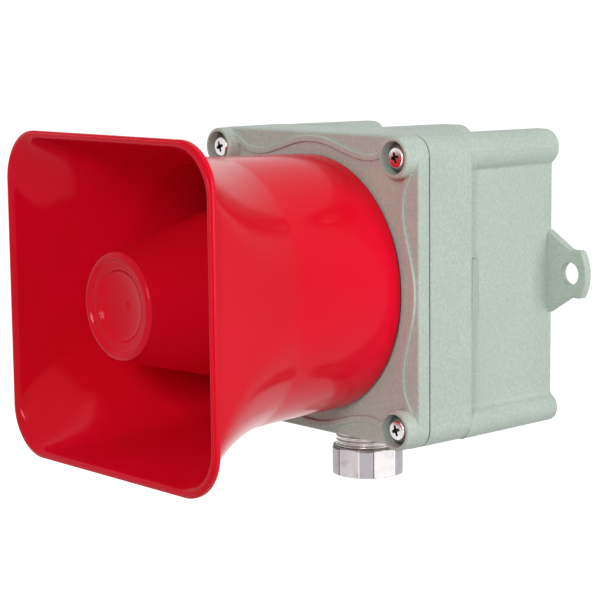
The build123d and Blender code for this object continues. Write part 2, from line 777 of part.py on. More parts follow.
with BuildPart() as cover_screws:
    with BuildSketch(at_depth(case_depth - cover_screw_length + 2)):
        with Locations(*corner_points):
            Circle(cover_screw_radius)
    extrude(amount=washer_seat + washer_thickness - case_depth + cover_screw_length - 2)
    with BuildSketch(at_depth(washer_seat + washer_thickness)):
        with Locations(*corner_points):
            Circle(screw_head_radius)
    extrude(amount=screw_head_height)
    fillet(cover_screws.faces().group_by(Axis.Y)[0].edges(), radius=1.8)
    with BuildSketch(at_depth(washer_seat + washer_thickness + screw_head_height - 2.4)):
        with Locations(*corner_points):
            Rectangle(6.0, 1.2)
            Rectangle(1.2, 6.0)
    extrude(amount=4, mode=Mode.SUBTRACT)
cover_screws.part.label = "cover_screws"
export_step(cover_screws.part, "parts/cover_screws.step")

# ---------------------------------------------------------------- horn bell
def horn_half_width(depth):
    """Half-width of the bell: slight growth along the round part, then a curved flare."""
    share = (depth - horn_base) / horn_length
    flare = max(0.0, (share - horn_flare_start) / (1 - horn_flare_start))
    waist = horn_base_half + horn_waist_growth * share
    end = horn_mouth_half - horn_rim_setback
    return waist + (end - horn_base_half - horn_waist_growth) * flare**1.25


def horn_corner_share(depth):
    """Corner radius over half-width: 1 is a circle, and it falls towards the square mouth."""
    share = (depth - horn_base) / horn_length
    return 0.985 - (0.985 - horn_mouth_corner / horn_mouth_half) * share**3


horn_stations = [horn_base + horn_length * k / 10 for k in range(11)]

with BuildPart() as horn_hollow:
    for depth in [horn_base + horn_floor] + horn_stations[1:-1] + [horn_mouth + 0.5]:
        with BuildSketch(at_depth(depth)):
            half = horn_half_width(depth) - horn_wall
            RectangleRounded(2 * half, 2 * half, half * horn_corner_share(depth))
    loft()

with BuildPart() as horn_bell:
    for depth in horn_stations:
        with BuildSketch(at_depth(depth)):
            half = horn_half_width(depth)
            RectangleRounded(2 * half, 2 * half, half * horn_corner_share(depth))
    loft()
    # Rim band just behind the lip
    with BuildSketch(at_depth(horn_mouth - horn_rim_depth)):
        RectangleRounded(2 * horn_mouth_half, 2 * horn_mouth_half, horn_mouth_corner)
    extrude(amount=horn_rim_depth - 0.8)
    add(horn_hollow.part, mode=Mode.SUBTRACT)
    # Screw bosses on the floor, throat opening
    with BuildSketch(at_depth(horn_base)):
        with Locations(*ring_points(horn_screw_circle, 4, 45)):
            Circle(horn_boss_radius)
    extrude(amount=horn_boss_height)
    with BuildSketch(at_depth(horn_base - 1)):
        Circle(horn_throat_opening)
    extrude(amount=horn_floor + 2, mode=Mode.SUBTRACT)
    with BuildSketch(at_depth(horn_base - 1)):
        with Locations(*ring_points(horn_screw_circle, 4, 45)):
            Circle(horn_screw_radius + screw_clearance)
    extrude(amount=horn_boss_height - 1, mode=Mode.SUBTRACT)
horn_bell.part.label = "horn_bell"
export_step(horn_bell.part, "parts/horn_bell.step")

with BuildPart() as horn_gasket:
    with BuildSketch(at_depth(cover_front)):
        Circle(horn_base_half - 1.0)
        Circle(cover_bore_radius + 1.0, mode=Mode.SUBTRACT)
        with Locations(*ring_points(horn_screw_circle, 4, 45)):
            Circle(horn_screw_radius + 0.2, mode=Mode.SUBTRACT)
    extrude(amount=horn_gasket_thickness)
horn_gasket.part.label = "horn_gasket"
export_step(horn_gasket.part, "parts/horn_gasket.step")

with BuildPart() as horn_screws:
    with BuildSketch(at_depth(driver_plate_back)):
        with Locations(*ring_points(horn_screw_circle, 4, 45)):
            Circle(horn_screw_radius)
    extrude(amount=horn_base + horn_boss_height - 3 - driver_plate_back)
    with BuildSketch(at_depth(driver_plate_back - 2.6)):
        with Locations(*ring_points(horn_screw_circle, 4, 45)):
            Circle(horn_screw_radius * 1.75)
    extrude(amount=2.6)
horn_screws.part.label = "horn_screws"
export_step(horn_screws.part, "parts/horn_screws.step")

# ---------------------------------------------------------------- throat tube and reflector
with BuildPart() as throat_tube:
    with BuildSketch(Plane.XY):
        with BuildLine():
            Polyline(
                (throat_radius, -cover_inside),
                (throat_flange_radius, -cover_inside),
                (throat_flange_radius, -horn_base),
                (throat_radius + throat_wall, -horn_base),
                (throat_mouth_radius + throat_wall, -(cover_inside + throat_length)),
                (throat_mouth_radius, -(cover_inside + throat_length)),
                close=True,
            )
        make_face()
    revolve(axis=Axis.Y)
throat_tube.part.label = "throat_tube"
export_step(throat_tube.part, "parts/throat_tube.step")


def throat_outer_radius(depth):
    """Outer radius of the throat tube at a depth."""
    share = (depth - horn_base) / (cover_inside + throat_length - horn_base)
    return throat_radius + throat_wall + (throat_mouth_radius - throat_radius) * share


def reflector_radius(depth):
    """Outer radius of the reflector cone at a depth."""
    share = (reflector_front - depth) / reflector_length
    return reflector_front_radius + (reflector_back_radius - reflector_front_radius) * share


with BuildPart() as reflector_cone:
    with BuildSketch(Plane.XY):
        with BuildLine():
            Polyline(
                (reflector_front_radius - reflector_wall, -reflector_front),
                (reflector_front_radius, -reflector_front),
                (reflector_back_radius, -reflector_back),
                (reflector_back_radius - reflector_wall, -reflector_back),
                close=True,
            )
        make_face()
    revolve(axis=Axis.Y)
reflector_cone.part.label = "reflector_cone"
export_step(reflector_cone.part, "parts/reflector_cone.step")

with BuildPart() as reflector_cap:
    with BuildSketch(Plane.XY) as cap_profile:
        cap_spigot = reflector_front_radius - reflector_wall - spider_gap
        with BuildLine():
            Polyline(
                (0, -(reflector_front - 3.0)),
                (cap_spigot, -(reflector_front - 3.0)),
                (cap_spigot, -reflector_front),
                (reflector_front_radius, -reflector_front),
                (reflector_front_radius, -(reflector_front + cap_rim_height - 1.2)),
            )
            RadiusArc(
                (reflector_front_radius, -(reflector_front + cap_rim_height - 1.2)),
                (reflector_front_radius - 2.4, -(reflector_front + cap_rim_height - 1.2)),
                1.2,
            )
            Polyline(
                (reflector_front_radius - 2.4, -(reflector_front + cap_rim_height - 1.2)),
                (reflector_front_radius - 3.6, -(reflector_front - 0.2)),
                (reflector_front_radius - 5.2, -(reflector_front - 0.2)),
                (reflector_front_radius * 0.42, -(reflector_front - 1.2)),
                (0, -(reflector_front - 1.2)),
                (0, -(reflector_front - 3.0)),
            )
        make_face()
    revolve(axis=Axis.Y)
reflector_cap.part.label = "reflector_cap"
export_step(reflector_cap.part, "parts/reflector_cap.step")

with BuildPart() as reflector_spider:
    spider_back = reflector_back + 2
    spider_front = spider_back + spider_height
    hub_bore = throat_outer_radius(spider_front) + spider_gap
    with BuildSketch(at_depth(spider_back)):
        Circle(hub_bore + spider_hub_wall)
        for k in range(3):
            with Locations(Location((0, 0), 90 + 120 * k)):
                Rectangle(reflector_back_radius, spider_rib, align=(Align.MIN, Align.CENTER))
        Circle(hub_bore, mode=Mode.SUBTRACT)
    extrude(amount=spider_height)
    with BuildSketch(Plane.XY):
        with BuildLine():
            Polyline(
                (0, -spider_back),
                (reflector_radius(spider_back) - reflector_wall - spider_gap, -spider_back),
                (reflector_radius(spider_front) - reflector_wall - spider_gap, -spider_front),
                (0, -spider_front),
                close=True,
            )
        make_face()
    revolve(axis=Axis.Y, mode=Mode.INTERSECT)
reflector_spider.part.label = "reflector_spider"
export_step(reflector_spider.part, "parts/reflector_spider.step")

# ---------------------------------------------------------------- compression driver
phase_plug_back = driver_plate_back - phase_plug_thickness
surround_front = driver_plate_back - clamp_thickness
surround_back = surround_front - surround_thickness
pole_plate_back = surround_back - pole_plate_thickness
magnet_back = pole_plate_back - magnet_thickness
back_plate_back = magnet_back - back_plate_thickness
coil_outer = dome_radius
coil_inner = coil_outer - coil_wall
dome_base = surround_back + 0.1


with BuildPart() as driver_plate:
    with BuildSketch(at_depth(driver_plate_back)):
        Circle(driver_plate_radius)
        Circle(throat_radius, mode=Mode.SUBTRACT)
    extrude(amount=driver_plate_thickness)
    with BuildSketch(at_depth(driver_plate_back)):
        with Locations(*ring_points(horn_screw_circle, 4, 45)):
            Circle(horn_screw_radius + 0.2)
        with Locations(*ring_points(driver_screw_circle, 4)):
            Circle(driver_screw_radius + screw_clearance)
    extrude(amount=driver_plate_thickness, mode=Mode.SUBTRACT)
driver_plate.part.label = "driver_plate"
export_step(driver_plate.part, "parts/driver_plate.step")

with BuildPart() as phase_plug:
    with BuildSketch(at_depth(phase_plug_back)):
        Circle(dome_radius + 1.4)
        with PolarLocations(throat_radius * 0.7, 6):
            SlotCenterToCenter(throat_radius * 0.5, 2.4, mode=Mode.SUBTRACT)
    extrude(amount=phase_plug_thickness)
    with BuildSketch(Plane.XY):
        with BuildLine():
            Polyline(
                (0, -driver_plate_back + 0.5),
                (throat_radius * 0.32, -driver_plate_back + 0.5),
                (0, -(driver_plate_back + 9)),
                close=True,
            )
        make_face()
    revolve(axis=Axis.Y)
phase_plug.part.label = "phase_plug"
export_step(phase_plug.part, "parts/phase_plug.step")

with BuildPart() as clamp_ring:
    with BuildSketch(at_depth(surround_front)):
        Circle(magnet_radius)
        Circle(dome_radius + 2, mode=Mode.SUBTRACT)
    extrude(amount=clamp_thickness)
clamp_ring.part.label = "clamp_ring"
export_step(clamp_ring.part, "parts/clamp_ring.step")

with BuildPart() as surround:
    with BuildSketch(at_depth(surround_back)):
        Circle(dome_radius + surround_width)
        Circle(dome_radius + 0.3, mode=Mode.SUBTRACT)
    extrude(amount=surround_thickness)
surround.part.label = "surround"
export_step(surround.part, "parts/surround.step")

def cap_height(radius, rise, distance):
    """Height of a spherical cap above its base at a distance from its axis."""
    sphere = (radius**2 + rise**2) / (2 * rise)
    return math.sqrt(sphere**2 - distance**2) - (sphere - rise)


with BuildPart() as diaphragm:
    dome_front = dome_base + dome_skin
    with BuildSketch(Plane.XY):
        with BuildLine():
            Polyline((0, -dome_base), (dome_radius, -dome_base), (dome_radius, -dome_front))
            ThreePointArc(
                (dome_radius, -dome_front),
                (dome_radius / 2, -dome_front - cap_height(dome_radius, dome_rise, dome_radius / 2)),
                (0, -(dome_front + dome_rise)),
            )
            Line((0, -(dome_front + dome_rise)), (0, -dome_base))
        make_face()
    revolve(axis=Axis.Y)
    with BuildSketch(Plane.XY):
        with BuildLine():
            Line((0, -dome_base), (coil_inner, -dome_base))
            ThreePointArc(
                (coil_inner, -dome_base),
                (coil_inner / 2, -dome_base - cap_height(coil_inner, dome_rise, coil_inner / 2)),
                (0, -(dome_base + dome_rise)),
            )
            Line((0, -(dome_base + dome_rise)), (0, -dome_base))
        make_face()
    revolve(axis=Axis.Y, mode=Mode.SUBTRACT)
diaphragm.part.label = "diaphragm"
export_step(diaphragm.part, "parts/diaphragm.step")

with BuildPart() as voice_coil:
    with BuildSketch(at_depth(dome_base - coil_length)):
        Circle(coil_outer)
        Circle(coil_inner, mode=Mode.SUBTRACT)
    extrude(amount=coil_length)
voice_coil.part.label = "voice_coil"
export_step(voice_coil.part, "parts/voice_coil.step")

with BuildPart() as pole_plate:
    with BuildSketch(at_depth(pole_plate_back)):
        Circle(magnet_radius)
        Circle(coil_outer + coil_gap, mode=Mode.SUBTRACT)
    extrude(amount=pole_plate_thickness)
pole_plate.part.label = "pole_plate"
export_step(pole_plate.part, "parts/pole_plate.step")

with BuildPart() as magnet:
    with BuildSketch(at_depth(magnet_back)):
        Circle(magnet_radius)
        Circle(magnet_hole_radius, mode=Mode.SUBTRACT)
    extrude(amount=magnet_thickness)
magnet.part.label = "magnet"
export_step(magnet.part, "parts/magnet.step")

with BuildPart() as back_plate:
    with BuildSketch(at_depth(back_plate_back)):
        Circle(magnet_radius)
    extrude(amount=back_plate_thickness)
back_plate.part.label = "back_plate"
export_step(back_plate.part, "parts/back_plate.step")

with BuildPart() as pole_piece:
    with BuildSketch(at_depth(magnet_back)):
        Circle(coil_inner - coil_gap)
    extrude(amount=surround_back - 0.8 - magnet_back)
pole_piece.part.label = "pole_piece"
export_step(pole_piece.part, "parts/pole_piece.step")

with BuildPart() as driver_can:
    can_length = driver_plate_back - back_plate_back
    with BuildSketch(at_depth(back_plate_back - driver_can_wall)):
        Circle(driver_can_radius)
    extrude(amount=can_length + driver_can_wall)
    with BuildSketch(at_depth(driver_plate_back - driver_flange_thickness)):
        Circle(driver_flange_radius)
    extrude(amount=driver_flange_thickness)
    with BuildSketch(at_depth(back_plate_back)):
        Circle(driver_can_radius - driver_can_wall)
    extrude(amount=can_length + 1, mode=Mode.SUBTRACT)
    with BuildSketch(at_depth(back_plate_back)):
        with Locations(*ring_points(driver_screw_circle, 4)):
            Circle(driver_screw_radius + 0.2)
    extrude(amount=can_length + 1, mode=Mode.SUBTRACT)
    fillet(driver_can.faces().sort_by(Axis.Y)[-1].edges(), radius=1.2)
driver_can.part.label = "driver_can"
export_step(driver_can.part, "parts/driver_can.step")

with BuildPart() as driver_screws:
    with BuildSketch(at_depth(driver_plate_back - driver_flange_thickness)):
        with Locations(*ring_points(driver_screw_circle, 4)):
            Circle(driver_screw_radius)
    extrude(amount=driver_flange_thickness + driver_plate_thickness - 0.5)
    with BuildSketch(at_depth(driver_plate_back - driver_flange_thickness - 2.2)):
        with Locations(*ring_points(driver_screw_circle, 4)):
            Circle(driver_screw_radius * 1.8)
    extrude(amount=2.2)
driver_screws.part.label = "driver_screws"
export_step(driver_screws.part, "parts/driver_screws.step")

# ---------------------------------------------------------------- driver tabs, leads and plug
can_back = back_plate_back - driver_can_wall
plug_back = board_front + socket_floor + 0.4
plug_front = plug_back + plug_height
tab_reach = 5.0
lead_radius = 0.9
lead_points_x = [socket_point[0] - 3.0, socket_point[0] + 3.0]
tab_z = socket_point[1] + 16.0

with BuildPart() as driver_tabs:
    for tab_x in lead_points_x:
        with BuildSketch(at_depth(can_back - 1.5)):
            with Locations((tab_x, tab_z)):
                Rectangle(5.0, 6.0)
        extrude(amount=1.5)
        with BuildSketch(at_depth(can_back - tab_reach)):
            with Locations((tab_x, tab_z)):
                Rectangle(4.0, 0.8)
        extrude(amount=tab_reach - 1)
driver_tabs.part.label = "driver_tabs"
export_step(driver_tabs.part, "parts/driver_tabs.step")

with BuildPart() as lead_plug:
    with BuildSketch(at_depth(plug_back)):
        with Locations(socket_point):
            RectangleRounded(plug_width, plug_depth, 0.8)
    extrude(amount=plug_height)
lead_plug.part.label = "lead_plug"
export_step(lead_plug.part, "parts/lead_plug.step")

with BuildPart() as driver_leads:
    lead_run = (can_back - tab_reach) - plug_front
    for lead_x in lead_points_x:
        with BuildLine() as lead_path:
            FilletPolyline(
                (lead_x, -(can_back - tab_reach), tab_z),
                (lead_x, -(can_back - tab_reach - lead_run * 0.28), tab_z),
                (lead_x, -(plug_front + lead_run * 0.28), socket_point[1]),
                (lead_x, -plug_front, socket_point[1]),
                radius=2.6,
            )
        with BuildSketch(Plane(origin=lead_path.line @ 0, z_dir=lead_path.line % 0)):
            Circle(lead_radius)
        sweep(path=lead_path.line)
driver_leads.part.label = "driver_leads"
export_step(driver_leads.part, "parts/driver_leads.step")
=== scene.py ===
import math

import bpy
import numpy as np
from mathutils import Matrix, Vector


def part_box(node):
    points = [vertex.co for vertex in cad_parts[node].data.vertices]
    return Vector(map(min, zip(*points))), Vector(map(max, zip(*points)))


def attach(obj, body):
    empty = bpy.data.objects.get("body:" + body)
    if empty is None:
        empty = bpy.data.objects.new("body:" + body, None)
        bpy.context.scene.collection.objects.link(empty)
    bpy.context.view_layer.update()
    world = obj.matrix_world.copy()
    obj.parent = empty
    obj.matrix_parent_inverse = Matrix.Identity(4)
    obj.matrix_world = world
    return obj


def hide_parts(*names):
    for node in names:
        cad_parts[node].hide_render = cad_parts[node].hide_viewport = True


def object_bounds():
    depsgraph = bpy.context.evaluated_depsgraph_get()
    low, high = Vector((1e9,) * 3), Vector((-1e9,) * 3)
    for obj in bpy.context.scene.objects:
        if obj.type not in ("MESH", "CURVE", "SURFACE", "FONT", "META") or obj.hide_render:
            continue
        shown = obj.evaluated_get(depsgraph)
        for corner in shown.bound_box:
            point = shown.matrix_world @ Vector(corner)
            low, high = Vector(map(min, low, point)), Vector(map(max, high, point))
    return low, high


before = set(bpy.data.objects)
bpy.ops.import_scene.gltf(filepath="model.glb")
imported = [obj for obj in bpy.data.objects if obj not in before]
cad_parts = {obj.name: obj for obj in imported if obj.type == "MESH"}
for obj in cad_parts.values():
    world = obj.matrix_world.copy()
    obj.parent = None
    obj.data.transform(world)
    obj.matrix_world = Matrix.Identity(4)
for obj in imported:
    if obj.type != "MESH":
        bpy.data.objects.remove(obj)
cad_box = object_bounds()
MM = 0.001


# ------------------------------------------------------------------ rear housing
# The case back: one aluminium casting with a column at each corner, a middle column on top and
# two wall lugs, finished in hammered stoving enamel. It stays as the CAD made it, softly shaded.
class Signal:
    """A value or colour on its way through a material; + - * on it add Math nodes."""

    def __init__(self, finish, socket):
        self.finish, self.socket = finish, socket

    def _math(self, operation, first, second):
        return self.finish.add("ShaderNodeMath", {"operation": operation}, {0: first, 1: second})

    def __add__(self, other): return self._math("ADD", self, other)
    def __radd__(self, other): return self._math("ADD", other, self)
    def __sub__(self, other): return self._math("SUBTRACT", self, other)
    def __rsub__(self, other): return self._math("SUBTRACT", other, self)
    def __mul__(self, other): return self._math("MULTIPLY", self, other)
    def __rmul__(self, other): return self._math("MULTIPLY", other, self)

    def step(self, low, high):
        """0 below low, 1 above high, an S-curve between."""
        settings = {"interpolation_type": "SMOOTHSTEP"}
        sockets = {"Value": self, "From Min": low, "From Max": high}
        return self.finish.add("ShaderNodeMapRange", settings, sockets)

    def mix(self, first, second):
        """This value blends from the first colour to the second."""
        sockets = {0: self, 6: first, 7: second}
        return self.finish.add("ShaderNodeMix", {"data_type": "RGBA"}, sockets, out=2)


class Finish:
    """One material in the making: its node tree, its shader and the place on the piece."""

    def __init__(self, name, **fixed):
        self.material = bpy.data.materials.new(name)
        self.material.use_nodes = True
        self.nodes = self.material.node_tree.nodes
        self.links = self.material.node_tree.links
        self.shader = self.nodes["Principled BSDF"]
        for socket, value in fixed.items():
            self.shader.inputs[socket.replace("_", " ")].default_value = value
        self.place = self.add("ShaderNodeTexCoord", {}, {}, out="Object")

    def add(self, kind, settings, sockets, out=0):
        """Adds a node: settings first, then values or links of its sockets; gives one output."""
        node = self.nodes.new(kind)
        for name, value in settings.items():
            setattr(node, name, value)
        for key, value in sockets.items():
            if isinstance(value, Signal):
                self.links.new(value.socket, node.inputs[key])
            else:
                node.inputs[key].default_value = value
        return Signal(self, node.outputs[out])

    def stretched(self, scale):
        """The place on the piece with each axis scaled on its own."""
        return self.add("ShaderNodeMapping", {}, {"Vector": self.place, "Scale": scale})

    def noise(self, size, detail, place=None):
        """Cloudy noise whose blobs are about size millimetres across."""
        sockets = {"Vector": place or self.place, "Scale": 1 / (size * MM), "Detail": detail}
        return self.add("ShaderNodeTexNoise", {}, sockets, "Fac")

    def cells(self, size, feature="F1"):
        """Distance to scattered points about size millimetres apart."""
        sockets = {"Vector": self.place, "Scale": 1 / (size * MM)}
        return self.add("ShaderNodeTexVoronoi", {"feature": feature}, sockets, "Distance")

    def feed(self, **sockets):
        """Links values to the shader's own sockets."""
        for name, value in sockets.items():
            self.links.new(value.socket, self.shader.inputs[name.replace("_", " ")])

    def bump(self, height, depth, strength):
        """Relief from a height of 0 to 1, depth millimetres deep."""
        sockets = {"Height": height, "Distance": depth * MM, "Strength": strength}
        self.feed(Normal=self.add("ShaderNodeBump", {}, sockets, "Normal"))


def srgb(red, green, blue):
    """A colour written as 0 to 255 values, as the shader's linear numbers."""
    values = np.array([red, green, blue]) / 255
    return (*np.where(values <= 0.04045, values / 12.92, ((values + 0.055) / 1.055) ** 2.4), 1.0)


def hammered_enamel():
    """Grey-green enamel: small flowed mounds, darker hollows between, and pale metal speckle."""
    paint = Finish("hammered_enamel", IOR=1.48, Coat_Roughness=0.25)
    dimples = paint.cells(1.5, "SMOOTH_F1").step(0.10, 0.62)
    grain = paint.noise(0.55, 3.0)
    cloud = paint.noise(26.0, 3.0)
    speckle = paint.cells(0.7).step(0.0, 0.34)
    tone = cloud.step(0.3, 0.7).mix(srgb(190, 205, 194), srgb(201, 213, 202))
    tone = (dimples * 0.35 + grain.step(0.35, 0.7) * 0.4).mix(tone, srgb(170, 183, 173))
    tone = (1 - speckle).mix(tone, srgb(218, 228, 219))
    paint.feed(Base_Color=tone, Roughness=0.36 + grain * 0.16 + dimples * 0.06)
    paint.bump(1 - dimples * 0.8 + grain * 0.35, 0.09, 0.85)
    return paint.material


enamel = hammered_enamel()
weld_reach, crease_angle = 0.002 * MM, math.radians(32.0)


def keep_node(node, material):
    """A CAD piece stays: its seams are welded, and faces shade smoothly up to the crease angle."""
    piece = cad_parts[node]
    piece.data.materials.clear()
    piece.data.materials.append(material)
    piece.data.polygons.foreach_set("use_smooth", np.ones(len(piece.data.polygons), bool))
    piece.data.polygons.foreach_set("material_index", np.zeros(len(piece.data.polygons), np.int32))
    weld = piece.modifiers.new("weld", "WELD")
    weld.merge_threshold = weld_reach
    split = piece.modifiers.new("crease", "EDGE_SPLIT")
    split.split_angle = crease_angle
    normals = piece.modifiers.new("flats", "WEIGHTED_NORMAL")
    normals.keep_sharp = True


keep_node("rear_housing", enamel)

# ------------------------------------------------------------------ front cover
# A second casting in the same enamel: a flat field with a thin wavy rib, and a counterbored boss
# for each screw. It closes on the case through the seal.
keep_node("front_cover", enamel)


# ------------------------------------------------------------------ seals
# The flat black rubber between case and cover, the ring under the bell and the gland's packing.
def black_rubber():
    """Matt black rubber with a faint moulded grain and pale dust."""
    rubber = Finish("black_rubber", IOR=1.5)
    grain = rubber.noise(0.4, 4.0)
    dust = rubber.noise(9.0, 4.0).step(0.45, 0.75)
    rubber.feed(
        Base_Color=(dust * 0.5).mix(srgb(28, 29, 29), srgb(64, 66, 64)),
        Roughness=0.62 + grain * 0.2,
    )
    rubber.bump(grain, 0.03, 0.6)
    return rubber.material


rubber = black_rubber()
for node in ("cover_seal", "horn_gasket", "gland_seal"):
    keep_node(node, rubber)


# ------------------------------------------------------------------ horn bell
# The red bell, injection moulded in glossy plastic: round where it stands on the cover, square
# with rounded corners at the mouth, with a rim band just behind the lip and a floor at the back.
def red_plastic():
    """Crimson gloss plastic: slow colour drift, moulding ripple, fine rub marks, and small raised
    rough specks painted pale pink as highlights.
    """
    plastic = Finish("red_plastic", IOR=1.5, Specular_IOR_Level=0.09)
    drift = plastic.noise(70.0, 2.0)
    ripple = plastic.noise(16.0, 1.0)
    peel = plastic.noise(1.1, 2.0)
    rubs = plastic.noise(1.0, 6.0, plastic.stretched((1.0, 0.07, 1.0))).step(0.55, 0.8)
    specks_and_glints = 1 - plastic.cells(4.2).step(0.02, 0.06)
    tone = drift.step(0.3, 0.7).mix(srgb(240, 10, 46), srgb(230, 13, 36))
    # The specks are painted pale pink: painted highlights. Their relief and roughness are real.
    tone = (specks_and_glints * 0.4).mix(tone, srgb(236, 120, 120))
    plastic.feed(Base_Color=tone, Roughness=0.14 + rubs * 0.1 + specks_and_glints * 0.3 + peel * 0.04)
    plastic.bump(ripple * 0.75 + peel * 0.06 + specks_and_glints * 0.2, 0.10, 0.5)
    return plastic.material


def square_loop(half, radius, arc_steps=40, side_steps=24):
    """Points round a square with rounded corners: for each quarter a straight run and a corner
    arc, always with the same number of points, so that loops of any size can be joined."""
    points = []
    for quarter in range(4):
        turn = quarter * np.pi / 2
        straight = np.linspace(-(half - radius), half - radius, side_steps, endpoint=False)
        side = np.stack([np.full(side_steps, half), straight], 1)
        angles = np.linspace(0, np.pi / 2, arc_steps, endpoint=False)
        corner = (half - radius) + radius * np.stack([np.cos(angles), np.sin(angles)], 1)
        run = np.concatenate([side, corner])
        cosine, sine = np.cos(turn), np.sin(turn)
        points.append(run @ np.array([[cosine, sine], [-sine, cosine]]))
    return np.concatenate(points)


def make_piece(name, points, faces, material, body, replaces, angle):
    """A mesh from points and faces, smooth up to an angle in degrees, that rides on its body in
    place of the CAD nodes it replaces."""
    mesh = bpy.data.meshes.new(name)
    mesh.from_pydata(np.asarray(points).tolist(), [], [list(face) for face in faces])
    mesh.polygons.foreach_set("use_smooth", np.ones(len(mesh.polygons), bool))
    mesh.set_sharp_from_angle(angle=math.radians(angle))
    mesh.materials.append(material)
    piece = bpy.data.objects.new(name, mesh)
    bpy.context.scene.collection.objects.link(piece)
    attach(piece, body)
    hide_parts(*replaces)
    return piece


def ring_faces(rows, columns, closed=True):
    """Quads between neighbouring rows of a grid whose columns run round; closed joins the last
    row to the first. Faces point outwards when the outside's rows run forward along the horn."""
    starts = np.arange(rows if closed else rows - 1)
    row, column = np.meshgrid(starts, np.arange(columns), indexing="ij")
    here, below = row * columns, (row + 1) % rows * columns
    after = (column + 1) % columns
    quads = [here + column, here + after, below + after, below + column]
    return np.stack(quads, -1).reshape(-1, 4).tolist()


bell_low, bell_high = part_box("horn_bell")
bell_base, bell_mouth = -bell_high.y, -bell_low.y
bell_length = bell_mouth - bell_base
mouth_half, mouth_corner = bell_high.x, 23 * MM
rim_setback, rim_depth, bell_wall, bell_floor = 0.8 * MM, 3.4 * MM, 2.6 * MM, 3.0 * MM
base_half, waist_growth, flare_start, flare_power = 64 * MM, 2.6 * MM, 0.5, 1.25
throat_opening = 30 * MM
base_share, hole_share = 0.985, 0.999  # corner radius over half-width: at 1 a square is a circle
bell_steps = 90
# Outlines in millimetres. Rim band: forward of its back edge, and in from the mouth's outside.
# Lip: back from the mouth, and in from its outside. Foot: up from the floor, and in from the wall.
rim_outline = [(0.1, 0.3), (0.35, 0.05), (0.7, 0), (2.0, 0), (2.35, 0.08), (2.55, 0.35)]
lip_outline = [(0.8, 1.0), (0.35, 1.0), (0.08, 1.2), (0, 1.55), (0, 2.3), (0.12, 2.75), (0.5, 3.05)]
foot_outline = [(1.0, 0.25), (0.35, 0.8), (0.0, 1.8)]
base_rise, base_inset, lip_reach, foot_reach = 0.6 * MM, 0.8 * MM, 1.2 * MM, 2.0 * MM


def bell_half(depth):
    """Half-width of the bell's outside: it grows evenly a little, and from mid-length flares out
    with a power of the length that is left."""
    share = (depth - bell_base) / bell_length
    flare = np.maximum(0.0, (share - flare_start) / (1 - flare_start))
    end = mouth_half - rim_setback
    return base_half + waist_growth * share + (end - base_half - waist_growth) * flare**flare_power


def bell_corner_share(depth):
    """Corner radius over half-width: nearly 1, a circle, falling with the cube of the length."""
    share = (depth - bell_base) / bell_length
    return base_share - (base_share - mouth_corner / mouth_half) * np.clip(share, 0, 1) ** 3


def bell_rows():
    """Loops from the floor's opening out under the base, forward over the outside, round the rim
    band and the lip, and back down the inside to the floor: (depth, half-width, corner share)."""
    rows = [(bell_base, throat_opening, hole_share)]
    rows += [(bell_base, base_half - base_inset, base_share)]
    band, floor_top = bell_mouth - rim_depth, bell_base + bell_floor
    outside = np.linspace(bell_base + base_rise, band, bell_steps)
    rows += [(depth, bell_half(depth), bell_corner_share(depth)) for depth in outside]
    share = mouth_corner / mouth_half
    rows += [
        (band + forward * MM, mouth_half - inset * MM, share) for forward, inset in rim_outline
    ]
    rows += [
        (bell_mouth - back * MM, mouth_half - inset * MM, share) for back, inset in lip_outline
    ]
    inside = np.linspace(bell_mouth - lip_reach, floor_top + foot_reach, bell_steps)
    rows += [(depth, bell_half(depth) - bell_wall, bell_corner_share(depth)) for depth in inside]
    foot = bell_half(bell_base) - bell_wall
    rows += [(floor_top + up * MM, foot - inward * MM, base_share) for up, inward in foot_outline]
    return rows + [(floor_top, throat_opening, hole_share)]


def bell_mesh():
    """Every loop of the bell as points, each loop placed at its own depth."""
    loops = []
    for depth, half, share in bell_rows():
        flat = square_loop(half, half * share)
        loops.append(np.stack([flat[:, 0], np.full(len(flat), -depth), flat[:, 1]], 1))
    return np.concatenate(loops), ring_faces(len(loops), len(loops[0]))


red = red_plastic()
bell_points, bell_faces = bell_mesh()
make_piece("bell", bell_points, bell_faces, red, "cover", ["horn_bell"], angle=40.0)


# ------------------------------------------------------------------ reflector
# The cone that hangs in the mouth and turns the sound back: a tapered shell with a dished cap
# let into its front, moulded in the same red plastic and carried by a three-armed spider.
def closed_grid(grid, first=None, last=None):
    """Points and faces of a grid of rings. With no poles the last ring joins the first; with poles
    the ends are closed by a fan of triangles round the first and the last point."""
    rows, columns = grid.shape[:2]
    points = grid.reshape(-1, 3)
    if first is None:
        return points, ring_faces(rows, columns)
    faces = ring_faces(rows, columns, closed=False)
    column = np.arange(columns)
    after, foot = (column + 1) % columns, (rows - 1) * columns
    head, tail = np.full(columns, rows * columns), np.full(columns, rows * columns + 1)
    faces += np.stack([head, after, column], 1).tolist()
    faces += np.stack([tail, foot + column, foot + after], 1).tolist()
    return np.concatenate([points, [first], [last]]), faces


def turned(profile, steps, poles=False):
    """A profile of (radius, depth) pairs turned about the horn's axis: a closed outline, or with
    poles a line whose first and last points lie on the axis."""
    profile = np.asarray(profile, float)
    angles = np.linspace(0, 2 * np.pi, steps, endpoint=False)
    rings = profile[1:-1] if poles else profile
    radius, depth = rings[:, :1], rings[:, 1:]
    grid = np.stack([radius * np.cos(angles), -depth + 0 * angles, radius * np.sin(angles)], -1)
    if poles:
        return closed_grid(grid, (0, -profile[0, 1], 0), (0, -profile[-1, 1], 0))
    return closed_grid(grid)


